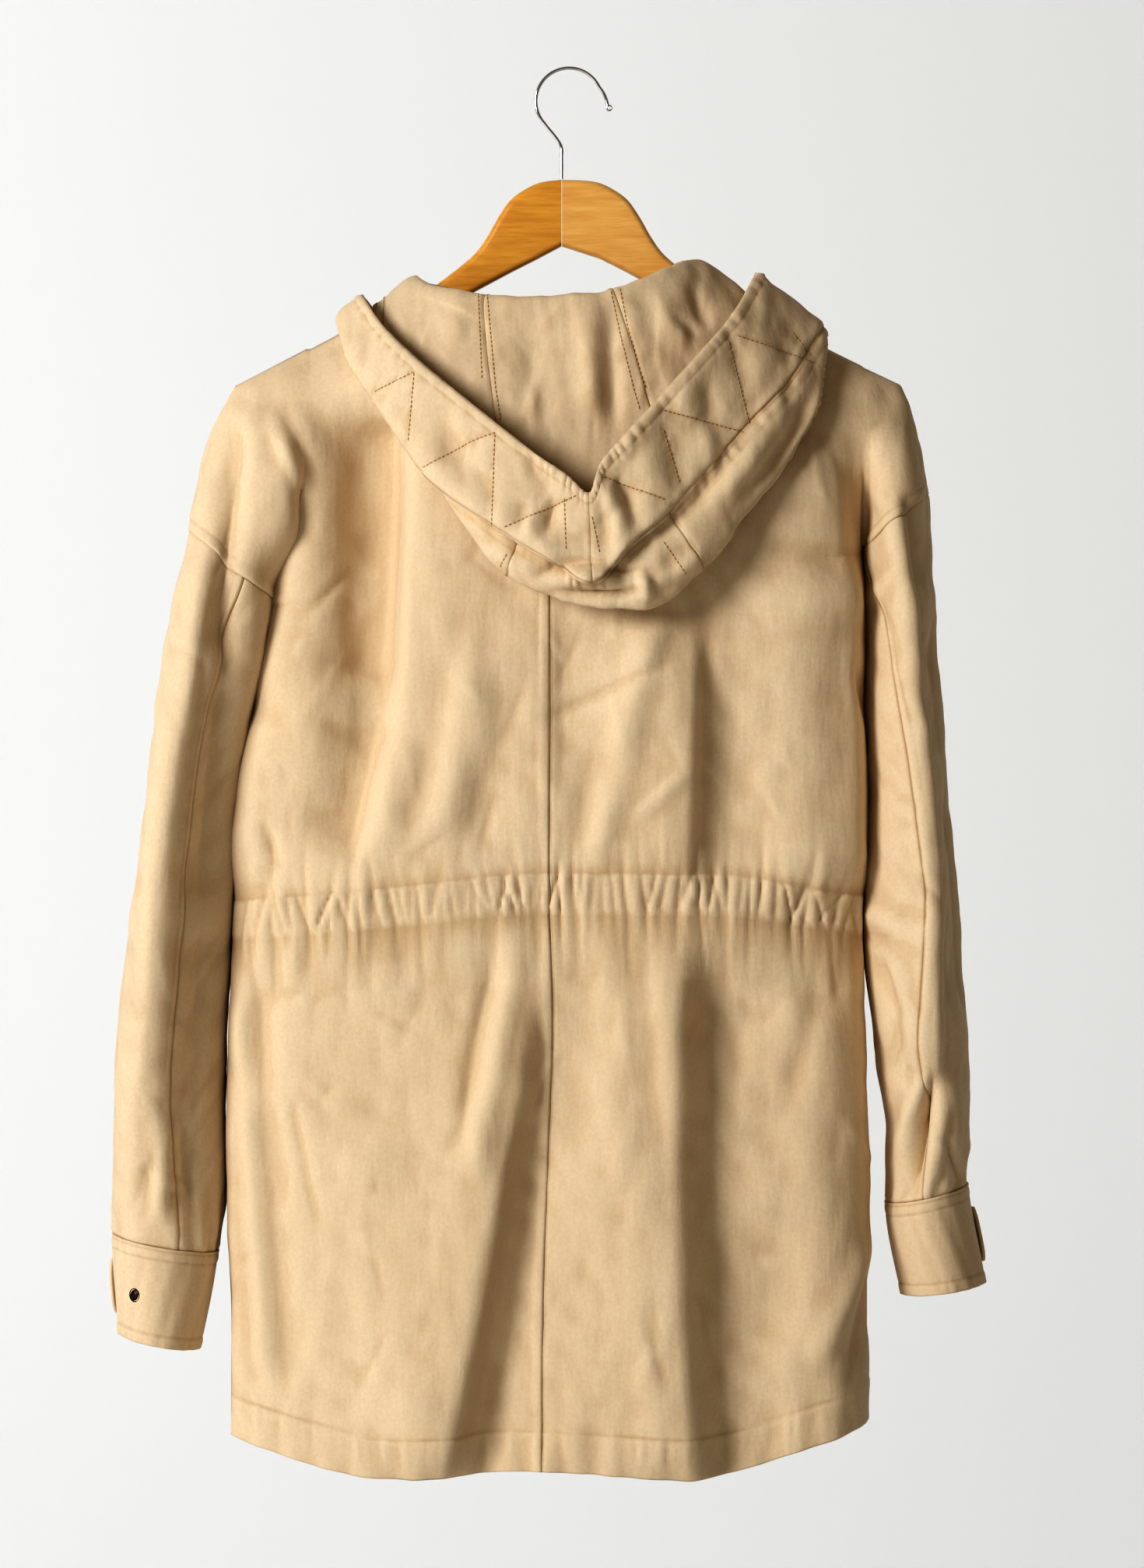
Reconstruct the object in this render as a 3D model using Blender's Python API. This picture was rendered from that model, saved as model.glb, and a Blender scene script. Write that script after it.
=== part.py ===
"""Hooded parka coat on a flat wooden hanger with a wire hook.

World frame: +Z up, +X to the right of someone who looks at the coat's back, +Y away from that person.
The origin is the underside of the hook's bow, where a rod bears.

Every size below is in millimetres. Heights are given as a drop: how far a point lies under the rod.
Cloth is drawn as one outer surface. That surface is cut into the maker's panels, each panel is drawn back a little
from its seams, and each becomes a wall of even thickness, laid inwards.
"""

from collections import namedtuple

import bmesh
import bpy
import numpy as np
from mathutils import Vector

MM = 0.001

CLOTH = 1.6
SEAM_GAP = 0.4
WELD = 0.02
LEFT, RIGHT = -1, 1
BACK, FRONT = -1, 1

# Neck opening: half width, and how deep and how low it runs at the centre back and the centre front.
NECK_HALF = 100.0
NECK_DROP = 146.5
Neck = namedtuple("Neck", "depth fall")
NECK = {BACK: Neck(38.0, 20.0), FRONT: Neck(46.0, 88.0)}
NECK_BOW, NECK_SCOOP = 0.6, 1.3

# Shoulder ridge: distance from the middle of the hanger, and drop.
SHOULDER_REACH = (100.0, 155.0, 226.0, 260.0)
SHOULDER_DROP = (146.5, 179.8, 215.7, 232.9)
ROLL_LENGTH = 150.0
ROLL_POWER = 0.65

# Centre seam of the back, and the line where the fronts meet: drop, and place across.
CENTRE_DROP = (160.0, 360.0, 560.0, 640.0, 740.0, 840.0, 945.0)
CENTRE_X = (-4.0, -13.0, -13.0, -11.0, -14.0, -17.0, -17.6)

# Torso, from the shoulder down: drop, the two side edges, and how far the back and front stand out.
Girth = namedtuple("Girth", "drop left right back front")
TORSO = (
    Girth(190, -176.0, 198.0, 50.0, 48.0),
    Girth(266, -177.0, 198.0, 54.0, 52.0),
    Girth(320, -189.0, 197.0, 58.0, 55.0),
    Girth(377, -199.0, 199.0, 61.0, 57.0),
    Girth(440, -211.0, 196.0, 62.0, 58.0),
    Girth(482, -220.0, 198.0, 61.0, 57.0),
    Girth(524, -225.0, 200.0, 58.0, 54.0),
    Girth(578, -228.0, 199.0, 54.0, 50.0),
    Girth(640, -229.5, 199.5, 57.0, 53.0),
    Girth(700, -232.0, 200.5, 60.0, 56.0),
    Girth(777, -231.5, 201.5, 62.0, 58.0),
    Girth(851, -228.5, 201.5, 63.0, 59.0),
    Girth(950, -229.0, 200.0, 64.0, 60.0),
)
SIDE_ROUNDNESS = 2.6
SIDE_CROWDING = 1.7
CORNER_CROWDING = 1.4

# Lines across the torso, as drops at the left side, left middle, centre, right middle and right side.
ACROSS = (-1.0, -0.5, 0.0, 0.5, 1.0)
Level = namedtuple("Level", "left mid_left centre mid_right right")
ARMPIT_LEVEL = Level(362, 362, 358, 345, 325)
CASING_TOP = Level(565, 555, 545, 546, 561)
CASING_LOW = Level(588, 578, 569, 570, 585)
HEM = Level(926, 948, 944, 948, 914)
LEVELS = (ARMPIT_LEVEL, CASING_TOP, CASING_LOW, HEM)
V_ARMPIT, V_CASING_TOP, V_CASING_MIDDLE, V_CASING_LOW, V_HEM = 1.0, 2.0, 2.5, 3.0, 4.0

# Folds of the torso. A positive height stands out and a negative one sinks in. The crest runs from (x_top, top) to
# (x_low, low), bowed sideways by bow, and falls away within the widths left and right of it.
Fold = namedtuple("Fold", "x_top top x_low low bow left right height")
FOLDS = {
    BACK: (
        Fold(-132, 230, -122, 480, 4, 26, 34, -13),
        Fold(-178, 250, -196, 480, 6, 20, 24, 6),
        Fold(84, 370, 76, 575, -2, 46, 11, 9),
        Fold(112, 400, 108, 575, 0, 16, 30, -5),
        Fold(72, 575, 80, 975, -8, 62, 17, 15),
        Fold(97, 585, 110, 975, -4, 12, 42, -11),
        Fold(-28, 610, -94, 975, 8, 62, 15, 14),
        Fold(-14, 620, -62, 975, 8, 10, 30, -7),
        Fold(-42, 575, -70, 740, -4, 7, 12, -6),
        Fold(-222, 610, -202, 930, -6, 8, 16, -7),
        Fold(160, 600, 176, 960, 4, 20, 22, 5),
    ),
    FRONT: (
        Fold(-120, 260, -126, 520, 0, 26, 30, -9),
        Fold(128, 260, 120, 520, 0, 26, 30, -9),
        Fold(-96, 600, -120, 975, 6, 34, 20, 10),
        Fold(88, 600, 112, 975, -6, 20, 34, 10),
        Fold(-170, 640, -160, 975, 0, 18, 22, -7),
        Fold(150, 640, 158, 975, 0, 22, 18, -7),
    ),
}

# Gathers of the waist casing, on each half of the back and of the front.
GATHERS_HALF = 18
GATHER_HEIGHT = 1.9
CASING_PUFF = 1.2
CENTRE_BARE = 0.14

# Arms, from the shoulder ridge down to the cuff's edge. Each ring slants from its outer to its inner drop.
# crest is where the back stands out furthest, as a share of the way from outer to inner; valley is how far the
# groove between arm and torso stands out; seam is where the back seam lies, as a share of the turn round the arm.
Arm = namedtuple("Arm", "outer_drop inner_drop outer inner crest back front valley seam")
ARMS = {
    LEFT: (
        Arm(215.7, 190.6, -226.0, -178.2, 0.50, 50, 48, 49.0, 0.33),
        Arm(240.0, 233.4, -239.0, -178.6, 0.48, 50, 50, 48.0, 0.33),
        Arm(268.0, 276.3, -249.0, -181.0, 0.45, 53, 52, 38.0, 0.33),
        Arm(293.0, 319.1, -254.5, -191.0, 0.42, 57, 56, 14.0, 0.33),
        Arm(314.0, 362.0, -257.5, -199.5, 0.40, 60, 60, 3.5, 0.34),
        Arm(392.0, 412.0, -268.0, -209.0, 0.36, 62, 63, 0.0, 0.33),
        Arm(482.0, 486.0, -281.5, -223.0, 0.33, 62, 64, 0.0, 0.32),
        Arm(588.0, 588.0, -297.5, -231.0, 0.32, 61, 64, 0.0, 0.32),
        Arm(694.0, 694.0, -308.0, -235.0, 0.34, 58, 60, 0.0, 0.31),
        Arm(752.0, 754.0, -309.0, -234.5, 0.40, 52, 54, 0.0, 0.31),
        Arm(790.5, 803.0, -309.0, -240.0, 0.48, 44, 46, 0.0, 0.31),
        Arm(858.0, 869.0, -304.5, -252.5, 0.50, 40, 42, 0.0, 0.31),
    ),
    RIGHT: (
        Arm(214.7, 203.5, 224.0, 200.2, 0.50, 50, 48, 49.0, 0.48),
        Arm(234.0, 233.9, 232.0, 201.0, 0.50, 50, 50, 47.0, 0.48),
        Arm(252.0, 264.2, 237.0, 203.5, 0.50, 52, 52, 30.0, 0.48),
        Arm(271.0, 294.6, 240.5, 203.5, 0.50, 54, 54, 12.0, 0.48),
        Arm(289.0, 325.0, 242.7, 202.5, 0.50, 56, 57, 3.5, 0.47),
        Arm(376.0, 392.0, 248.6, 204.0, 0.50, 58, 60, 0.0, 0.34),
        Arm(472.0, 474.0, 255.4, 204.0, 0.36, 59, 61, 0.0, 0.29),
        Arm(562.0, 562.0, 263.4, 204.0, 0.28, 59, 61, 0.0, 0.28),
        Arm(668.0, 668.0, 269.8, 209.0, 0.46, 56, 58, 0.0, 0.28),
        Arm(721.0, 721.0, 271.3, 217.5, 0.46, 50, 52, 0.0, 0.28),
        Arm(757.0, 770.0, 269.8, 216.7, 0.50, 43, 45, 0.0, 0.28),
        Arm(824.0, 832.0, 281.4, 227.3, 0.50, 40, 42, 0.0, 0.28),
    ),
}
V_SEAM, V_CUFF, V_CUFF_EDGE = 4.0, 10.0, 11.0

# Hood, as sections from the centre front over the left shoulder, round the back and over the right shoulder.
# neck is where the section leaves the neckline; roll is the top of its turn, fold the turn at its outline and edge
# the free edge of the brim.
HoodSection = namedtuple(
    "HoodSection", "neck face roll_x roll_y roll_drop fold_x fold_y fold_drop edge_x edge_y edge_drop"
)
HOOD = (
    HoodSection(-6, FRONT, -10, 56, 228, -40, 70, 288, -35, 76, 278),
    HoodSection(-66, FRONT, -74, 46, 174, -126, 65, 234, -111, 74, 215),
    HoodSection(-88, FRONT, -94, 26, 150, -146, 36, 196, -124, 42, 172),
    HoodSection(-100, BACK, -104, 0, 140, -157, -3, 173, -139, -9, 156),
    HoodSection(-88, BACK, -94, -24, 150, -149, -32, 195, -126, -45, 177),
    HoodSection(-74, BACK, -79, -36, 154, -125, -54, 238, -100, -66, 204),
    HoodSection(-62, BACK, -68, -42, 156, -94, -69, 280, -67, -82, 232),
    HoodSection(-50, BACK, -57, -46, 158, -41, -82, 347, -21, -98, 269),
    HoodSection(-26, BACK, -29, -48, 159, -13, -86, 361, -1, -103, 283),
    HoodSection(2, BACK, 2, -48, 158, 16, -87, 369, 13, -105, 295),
    HoodSection(16, BACK, 16, -48, 157, 51, -86, 370, 20, -103, 276),
    HoodSection(28, BACK, 29, -47, 153, 90, -82, 342, 35, -98, 258),
    HoodSection(44, BACK, 47, -43, 147, 113, -75, 313, 61, -86, 229),
    HoodSection(60, BACK, 62, -36, 140, 142, -62, 276, 88, -72, 198),
    HoodSection(80, BACK, 76, -22, 133, 167, -46, 231, 109, -52, 172),
    HoodSection(100, BACK, 88, -2, 130, 174, -4, 181, 126, -8, 141),
    HoodSection(88, FRONT, 84, 20, 142, 158, 38, 208, 120, 46, 162),
    HoodSection(68, FRONT, 74, 46, 172, 130, 66, 238, 104, 78, 200),
    HoodSection(6, FRONT, 10, 56, 228, 40, 70, 288, 35, 76, 278),
)
HOOD_LEFT_SHOULDER, HOOD_CENTRE_FROM, HOOD_MIDDLE = 3, 7, 9
HOOD_CENTRE_TO, HOOD_RIGHT_SHOULDER, HOOD_END = 11, 15, 18
BAND_WIDTH = 50.0
NECK_CLEAR = 0.8
FOLD_FULLNESS = 6.0
BRIM_FULLNESS = 3.0
FULL_FOLD = 25.0

# Placket over the fronts, and its snaps.
PLACKET_HALF = 24.0
PLACKET_CLEAR = 0.5
PLACKET_FROM, PLACKET_TO = 0.1, 3.98
SLOPE_STEP = 0.02
SNAP_RADIUS = 5.0
SNAP_HEIGHT = 2.6
SNAP_CLEAR = 0.45
SNAP_SIDES = 12
PLACKET_SNAP_ROWS = (0.45, 1.216, 1.795, 3.123, 3.411, 3.7)

# Cuff tabs: from the turn round the cuff where a tab's tip lies to the cuff's column where it is sewn on, where it
# lies along the cuff, and how far its sewn end and its tip stand off.
Tab = namedtuple("Tab", "tip_turn sewn_column top low clear tip_clear")
TAB = Tab(-0.02, 3, 10.32, 10.84, 0.45, 2.4)
TAB_POINTS = 7
TAB_THICKNESS = 1.8
CUFF_SNAP_TURN = {LEFT: 0.17, RIGHT: 0.93}
CUFF_SNAP_ALONG = {LEFT: 10.56, RIGHT: 10.56}

# Hanger: half outlines from the joint outwards, as distance from the middle and drop.
HANGER_JOINT = -5.0
HANGER_HUMP = ((5.0, 75.0), (20.0, 77.0), (31.0, 82.2), (40.0, 89.0), (48.2, 100.7), (55.5, 113.5), (63.5, 124.8),
               (73.4, 133.6), (83.7, 141.6))
HANGER_UNDER = ((62.0, 150.0), (50.0, 143.6), (38.0, 137.2), (21.0, 128.6), (5.0, 120.2))
HANGER_ARM = (93.0, 120.0, 155.0, 190.0, 216.0)
HANGER_UNDER_RIDGE = 5.4
HANGER_TIP_HEIGHT = 20.0
HANGER_THICKNESS = 12.0
HANGER_ROUNDING = 4.4

# Hook: wire radius, the bow's radius and middle, and the stem.
WIRE = 1.15
BOW_RADIUS = 22.6
BOW_MIDDLE = (0.0, 21.4)
BOW_FROM, BOW_TO = -8.0, 222.0
TIP_FLARE = 4.0
STEM_X = -5.1
STEM_FROM, STEM_TO = 54.0, 74.3

# Where the rows and columns of points lie: rows of the torso by its v, rows of the arm by its table rows, rows of the
# hood by millimetres or by shares.
SHOULDER_ROWS = (0.0, 0.018, 0.045, 0.1, 0.2, 0.34, 0.5, 0.66, 0.84, V_ARMPIT)
BACK_ROWS = (1.12, 1.35, 1.6, 1.83, 1.96)
CASING_ROWS = (V_CASING_TOP, V_CASING_MIDDLE, V_CASING_LOW)
SKIRT_ROWS = (3.07, 3.2, 3.35, 3.5, 3.65, 3.8, 3.92, V_HEM)
SLEEVE_ROWS = (V_SEAM, 4.2, 4.6, 5.0, 5.5, 6.0, 6.5, 7.0, 7.5, 8.0, 8.5, 9.0, 9.5, V_CUFF)
CUFF_ROWS = (V_CUFF, 10.5, V_CUFF_EDGE)
BAND_POINTS, BODY_POINTS = 5, 6
FOLD_STEP = 7.0
TORSO_COLUMNS = {BACK: (8, 7), FRONT: (4, 5)}
ARM_TURNS = 5
FRONT_OF_INNER = 1e-9
HOOD_COLUMNS = 36
HOOD_OVER_SHOULDER = 1.3
HOOD_FOLD_KNOT = 3


def smooth(knots, values, at):
    """Monotone cubic through the knots, for a number or an array."""
    knots = np.asarray(knots, float)
    values = np.asarray(values, float)
    at = np.clip(np.asarray(at, float), knots[0], knots[-1])
    step = np.diff(knots)
    rise = np.diff(values) / step
    slope = np.concatenate(([rise[0]], np.zeros(len(rise) - 1), [rise[-1]]))
    for k in range(1, len(rise)):
        if rise[k - 1] * rise[k] > 0:
            before, after = 2 * step[k] + step[k - 1], step[k] + 2 * step[k - 1]
            slope[k] = (before + after) / (before / rise[k - 1] + after / rise[k])
    i = np.clip(np.searchsorted(knots, at, side="right") - 1, 0, len(step) - 1)
    t = (at - knots[i]) / step[i]
    ends = values[i] * (1 + 2 * t) * (1 - t) ** 2 + values[i + 1] * t * t * (3 - 2 * t)
    return ends + step[i] * t * (1 - t) * (slope[i] * (1 - t) - slope[i + 1] * t)


def column(rows, name, knots, at):
    """One named column of a table, read smoothly between its rows."""
    return smooth(knots, [getattr(row, name) for row in rows], at)


def ease(low, high, at):
    """0 below low, 1 above high, and a soft step between."""
    t = np.clip((np.asarray(at, float) - low) / (high - low), 0.0, 1.0)
    return t * t * (3 - 2 * t)


def girth(name, drop):
    return column(TORSO, name, [row.drop for row in TORSO], drop)


def ridge_drop(x, face):
    """Drop of the torso's upper edge: the neckline, then the shoulder ridge."""
    away = np.abs(x)
    inside = np.clip(away / NECK_HALF, 0.0, 1.0)
    neckline = NECK_DROP + NECK[face].fall * (1 - inside ** 2) ** NECK_SCOOP
    return np.where(away < NECK_HALF, neckline, smooth(SHOULDER_REACH, SHOULDER_DROP, away))


def roll(below):
    """How much of its full depth the cloth has, a given way below the upper edge."""
    share = np.clip(below / ROLL_LENGTH, 0.0, 1.0)
    return (1 - (1 - share) ** 2) ** ROLL_POWER


def fold_height(x, drop, face):
    """Sum of the folds at a place on the torso."""
    total = np.zeros(np.broadcast(x, drop).shape)
    for fold in FOLDS[face]:
        along = np.clip((drop - fold.top) / (fold.low - fold.top), 0.0, 1.0)
        crest = fold.x_top + (fold.x_low - fold.x_top) * along + fold.bow * np.sin(np.pi * along)
        off = x - crest
        width = np.where(off < 0, fold.left, fold.right)
        strength = ease(fold.top, fold.top + 60, drop) * (1 - ease(fold.low - 50, fold.low, drop))
        total = total + fold.height * strength * np.exp(-((off / width) ** 2))
    return total


def torso(side, share, v, face):
    """Point of the torso.

    side and share say how far out it lies, from the centre (0) to the side (1). v runs from the upper edge (0)
    over the armpit (1) and the casing (2 to 3) to the hem (4).
    """
    share, v = np.broadcast_arrays(np.asarray(share, float), np.asarray(v, float))
    edge_name = "left" if side == LEFT else "right"
    top_edge = getattr(TORSO[0], edge_name)
    level_v = np.clip(v, V_ARMPIT, V_HEM)
    lines = np.array([smooth(ACROSS, level, side * share) for level in LEVELS])
    side_lines = [getattr(level, edge_name) for level in LEVELS]
    side_low = np.interp(level_v, range(1, 5), side_lines)
    side_drop = np.where(v < V_ARMPIT, ridge_drop(top_edge, face) * (1 - v) + side_lines[0] * v, side_low)
    edge = girth(edge_name, side_drop)
    index = np.clip(level_v.astype(int) - 1, 0, len(LEVELS) - 2)
    part = level_v - 1 - index
    above, below = (np.take_along_axis(lines, index[None] + step, 0)[0] for step in (0, 1))
    low = above * (1 - part) + below * part
    guess = np.where(v < V_ARMPIT, 200 + v * 160, low)
    centre = smooth(CENTRE_DROP, CENTRE_X, guess)
    x = centre + (edge - centre) * share
    top = ridge_drop(x, face)
    drop = np.where(v < V_ARMPIT, top * (1 - v) + lines[0] * v, low)

    neck = NECK[face]
    inside = np.clip(np.abs(x) / NECK_HALF, 0.0, 1.0)
    neck_depth = neck.depth * (1 - inside ** 2) ** NECK_BOW
    full = girth("back" if face == BACK else "front", drop)
    depth = neck_depth + (full - neck_depth) * roll(drop - top)
    arm = ARMS[side]
    valley = column(arm, "valley", range(len(arm)), np.clip(v, 0, V_ARMPIT) * V_SEAM)
    valley = valley * roll(side_drop - ridge_drop(top_edge, face)) * (v <= V_ARMPIT)
    bulge = (1 - share ** SIDE_ROUNDNESS) ** (1 / SIDE_ROUNDNESS)
    flat = ease(0.0, 60.0, drop - top) * bulge
    depth = valley + (depth - valley) * bulge + fold_height(x, drop, face) * flat
    return np.stack([x, face * depth, -drop], axis=-1)


def arm_ridge_drop(side, x):
    """Drop of the shoulder ridge over an arm: the straight line of the table's first row."""
    first = ARMS[side][0]
    slope = (first.outer_drop - first.inner_drop) / (first.outer - first.inner)
    return first.inner_drop + (x - first.inner) * slope


def arm_point(side, turn, v):
    """Point of an arm. turn goes once round it: outer 0, back 0.25, inner 0.5, front 0.75. v counts table rows."""
    turn, v = np.broadcast_arrays(np.asarray(turn, float) % 1.0, np.asarray(v, float))
    rows = ARMS[side]
    read = {name: column(rows, name, range(len(rows)), v) for name in Arm._fields}
    face = np.where(turn <= 0.5, BACK, FRONT)
    half = np.where(turn <= 0.5, turn, 1 - turn) * 4
    crest_x = read["outer"] + (read["inner"] - read["outer"]) * read["crest"]
    depth = np.where(face == BACK, read["back"], read["front"])
    valley = np.where(v <= V_SEAM, read["valley"], 0.0)
    outer_part = np.clip(half, 0, 1) * np.pi / 2
    inner_part = np.clip(half - 1, 0, 1) * np.pi / 2
    x = np.where(half <= 1, crest_x + (read["outer"] - crest_x) * np.cos(outer_part),
                 crest_x + (read["inner"] - crest_x) * np.sin(inner_part))
    y = np.where(half <= 1, depth * np.sin(outer_part), valley + (depth - valley) * np.cos(inner_part))
    slant = (x - read["outer"]) / (read["inner"] - read["outer"])
    drop = read["outer_drop"] + (read["inner_drop"] - read["outer_drop"]) * slant
    y = y * roll(drop - arm_ridge_drop(side, x))
    return np.stack([x, face * y, -drop], axis=-1)


def neckline(face, x):
    """Point of the neckline at a place across, on the straight runs between the panel's own columns."""
    left, right = (torso(side, columns_of(side, BACK), 0.0, face) for side in (LEFT, RIGHT))
    line = np.vstack([left[::-1], right[1:]])
    return np.array([x, np.interp(x, line[:, 0], line[:, 1]), np.interp(x, line[:, 0], line[:, 2])])


def hood_section(s):
    """Points along one section of the hood, from the brim's edge to the neckline, with their length so far."""
    knots = range(len(HOOD))
    read = {name: float(column(HOOD, name, knots, s)) for name in HoodSection._fields if name != "face"}
    face = BACK if HOOD_LEFT_SHOULDER <= s <= HOOD_RIGHT_SHOULDER else FRONT
    neck = neckline(face, read["neck"]) + np.array([0, 0, NECK_CLEAR])
    top = np.array([read["roll_x"], read["roll_y"], -read["roll_drop"]])
    fold = np.array([read["fold_x"], read["fold_y"], -read["fold_drop"]])
    edge = np.array([read["edge_x"], read["edge_y"], -read["edge_drop"]])
    away = abs(s - HOOD_MIDDLE)
    over = np.pi / 2 * (ease(2.0, 6.0, away) + ease(6.0, 8.5, away))
    outwards = np.array([0.0, -np.cos(over), np.sin(over)]) * (1 - 0.25 * ease(3.0, 6.0, away))
    outwards *= min(np.linalg.norm(edge - fold) / FULL_FOLD, 1.0)
    path = [
        edge,
        (edge + fold) / 2 + outwards * BRIM_FULLNESS,
        fold + (edge - fold) * 0.14 + outwards * FOLD_FULLNESS,
        fold,
        fold + (top - fold) * 0.1 - outwards * FOLD_FULLNESS,
        (top + fold) / 2 - outwards * BRIM_FULLNESS,
        top,
        neck,
    ]
    return round_path(np.array(path))


def round_path(path, steps=14):
    """A smooth curve through the points of a path, its length so far, and that length at the path's own points."""
    reach = np.concatenate(([0.0], np.cumsum(np.sqrt(np.linalg.norm(np.diff(path, axis=0), axis=1)))))
    at = np.concatenate([np.linspace(a, b, steps, endpoint=False) for a, b in zip(reach, reach[1:])] + [reach[-1:]])
    tangent = np.gradient(path, reach, axis=0)
    i = np.clip(np.searchsorted(reach, at, side="right") - 1, 0, len(reach) - 2)
    h = (reach[i + 1] - reach[i])[:, None]
    t = ((at - reach[i]) / h[:, 0])[:, None]
    points = (path[i] * (1 + 2 * t) * (1 - t) ** 2 + path[i + 1] * t * t * (3 - 2 * t)
              + h * t * (1 - t) * (tangent[i] * (1 - t) - tangent[i + 1] * t))
    length = np.concatenate(([0.0], np.cumsum(np.linalg.norm(np.diff(points, axis=0), axis=1))))
    return points, length, length[::steps]


def columns_of(side, face):
    """Shares from the centre to the side, closer together at the neck's corner and the side."""
    inside, outside = TORSO_COLUMNS[face]
    centre = float(smooth(CENTRE_DROP, CENTRE_X, NECK_DROP))
    edge = getattr(TORSO[0], "left" if side == LEFT else "right")
    corner = (side * NECK_HALF - centre) / (edge - centre)
    to_corner = corner * (1 - (1 - np.linspace(0.0, 1.0, inside + 1)) ** CORNER_CROWDING)
    to_side = corner + (1 - corner) * (1 - (1 - np.linspace(0.0, 1.0, outside + 1)) ** SIDE_CROWDING)
    return np.concatenate((to_corner, to_side[1:]))


def arm_turns(side, v):
    """Turns round the arm at a row, so that one of them stays on the back seam."""
    seam = float(column(ARMS[side], "seam", range(len(ARMS[side])), v))
    outer = np.linspace(0.0, seam, ARM_TURNS + 1)
    inner = np.linspace(seam, 0.5, ARM_TURNS)[1:]
    back = np.concatenate((outer, inner))
    front = 1.0 - back[::-1] + FRONT_OF_INNER * (back[::-1] == 0.5)
    return back, front


def gathered_row(side, face, v):
    """One row of the waist casing, with its gathers raised and sunk in turn."""
    count = 2 * GATHERS_HALF
    k = np.arange(count + 1)
    share = (k + 0.25 * np.sin(1.7 * k) * (k > 0) * (k < count)) / count
    points = torso(side, share, v, face)
    middle = 1 - abs(v - V_CASING_MIDDLE) * 2
    strength = (0.35 + 0.65 * middle) * (0.75 + 0.25 * np.sin(2.3 * k))
    free = ease(0.0, 0.06, 1 - share) * (ease(CENTRE_BARE, CENTRE_BARE + 0.03, share) if face == FRONT else (k > 0))
    lift = (GATHER_HEIGHT * strength * (-1.0) ** k + CASING_PUFF * middle) * free
    centre = torso(side, 0.0, v, face)
    away = points - centre
    away[:, 0] *= (centre[1] / (points[-1, 0] - centre[0])) ** 2
    away[:, 1] = points[:, 1]
    away[:, 2] = 0.0
    return points + away / np.linalg.norm(away, axis=1)[:, None] * lift[:, None]


def torso_patch(side, face):
    """Rows of the torso's half, from the upper edge to the hem."""
    fine = columns_of(side, BACK)
    own = columns_of(side, face)
    rows = [torso(side, fine, 0.0, face)]
    rows += [torso(side, own, v, face) for v in SHOULDER_ROWS[1:] + BACK_ROWS]
    rows += [gathered_row(side, face, v) for v in CASING_ROWS]
    rows += [torso(side, own, v, face) for v in SKIRT_ROWS]
    return rows


def cap_patch(side, face):
    """Rows of the dropped shoulder, from the ridge to the armhole seam, with the groove beside the torso."""
    rows = []
    for v in SHOULDER_ROWS:
        back, front = arm_turns(side, v * V_SEAM)
        turns = back[::-1] if face == BACK else front
        rows.append(np.vstack([torso(side, 1.0, v, face)[None], arm_point(side, turns, v * V_SEAM)]))
    return rows


def sleeve_patches(side, rows):
    """Rows of a sleeve or cuff, in four strips round the arm: outer back, inner back, inner front, outer front."""
    strips = [[], [], [], []]
    for v in rows:
        back, front = arm_turns(side, v)
        seam, front_seam = ARM_TURNS, len(front) - 1 - ARM_TURNS
        cuts = (back[:seam + 1], back[seam:], front[:front_seam + 1], front[front_seam:])
        for strip, turns in zip(strips, cuts):
            strip.append(arm_point(side, turns, v))
    return strips


def shares_along(row):
    """How far along its row each vertex lies, by its place across."""
    across = np.array([vert.co.x for vert in row])
    steps = np.concatenate(([0.0], np.cumsum(np.abs(np.diff(across)))))
    return steps / steps[-1]


def steps_from_start(row):
    return np.arange(len(row))


def steps_from_end(row):
    return np.arange(len(row)) - len(row)


def join_rows(bm, upper, lower, pace=shares_along):
    """Faces between two rows of vertices. Rows that differ in number are kept in step by their pace."""
    faces = []
    if len(upper) == len(lower):
        for a, b, c, d in zip(upper, upper[1:], lower[1:], lower):
            faces.append(bm.faces.new((a, b, c, d)))
        return faces
    along_upper, along_lower = pace(upper), pace(lower)
    i = j = 0
    while i < len(upper) - 1 or j < len(lower) - 1:
        if j == len(lower) - 1 or (i < len(upper) - 1 and along_upper[i + 1] <= along_lower[j + 1]):
            faces.append(bm.faces.new((upper[i], upper[i + 1], lower[j])))
            i += 1
        else:
            faces.append(bm.faces.new((upper[i], lower[j + 1], lower[j])))
            j += 1
    return faces


def sew_shell(patches, facing=(0, BACK, 0)):
    """All patches as one welded surface, so that neighbours share their normals along a seam.

    The vertex that lies furthest along facing also faces that way.
    """
    facing = Vector(facing)
    bm = bmesh.new()
    tag = bm.faces.layers.int.new("panel")
    names = []
    for name, rows, *pace in patches:
        if name not in names:
            names.append(name)
        made = [[bm.verts.new(Vector(point) * MM) for point in row] for row in rows]
        for upper, lower in zip(made, made[1:]):
            for face in join_rows(bm, upper, lower, *pace):
                face[tag] = names.index(name)
    bmesh.ops.remove_doubles(bm, verts=bm.verts, dist=WELD * MM)
    bmesh.ops.dissolve_degenerate(bm, edges=bm.edges, dist=WELD * MM)
    bmesh.ops.recalc_face_normals(bm, faces=bm.faces)
    bm.normal_update()
    utmost = max(bm.verts, key=lambda v: v.co.dot(facing))
    if utmost.normal.dot(facing) < 0:
        bmesh.ops.reverse_faces(bm, faces=bm.faces)
        bm.normal_update()
    bm.verts.index_update()
    return bm, tag, names


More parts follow.
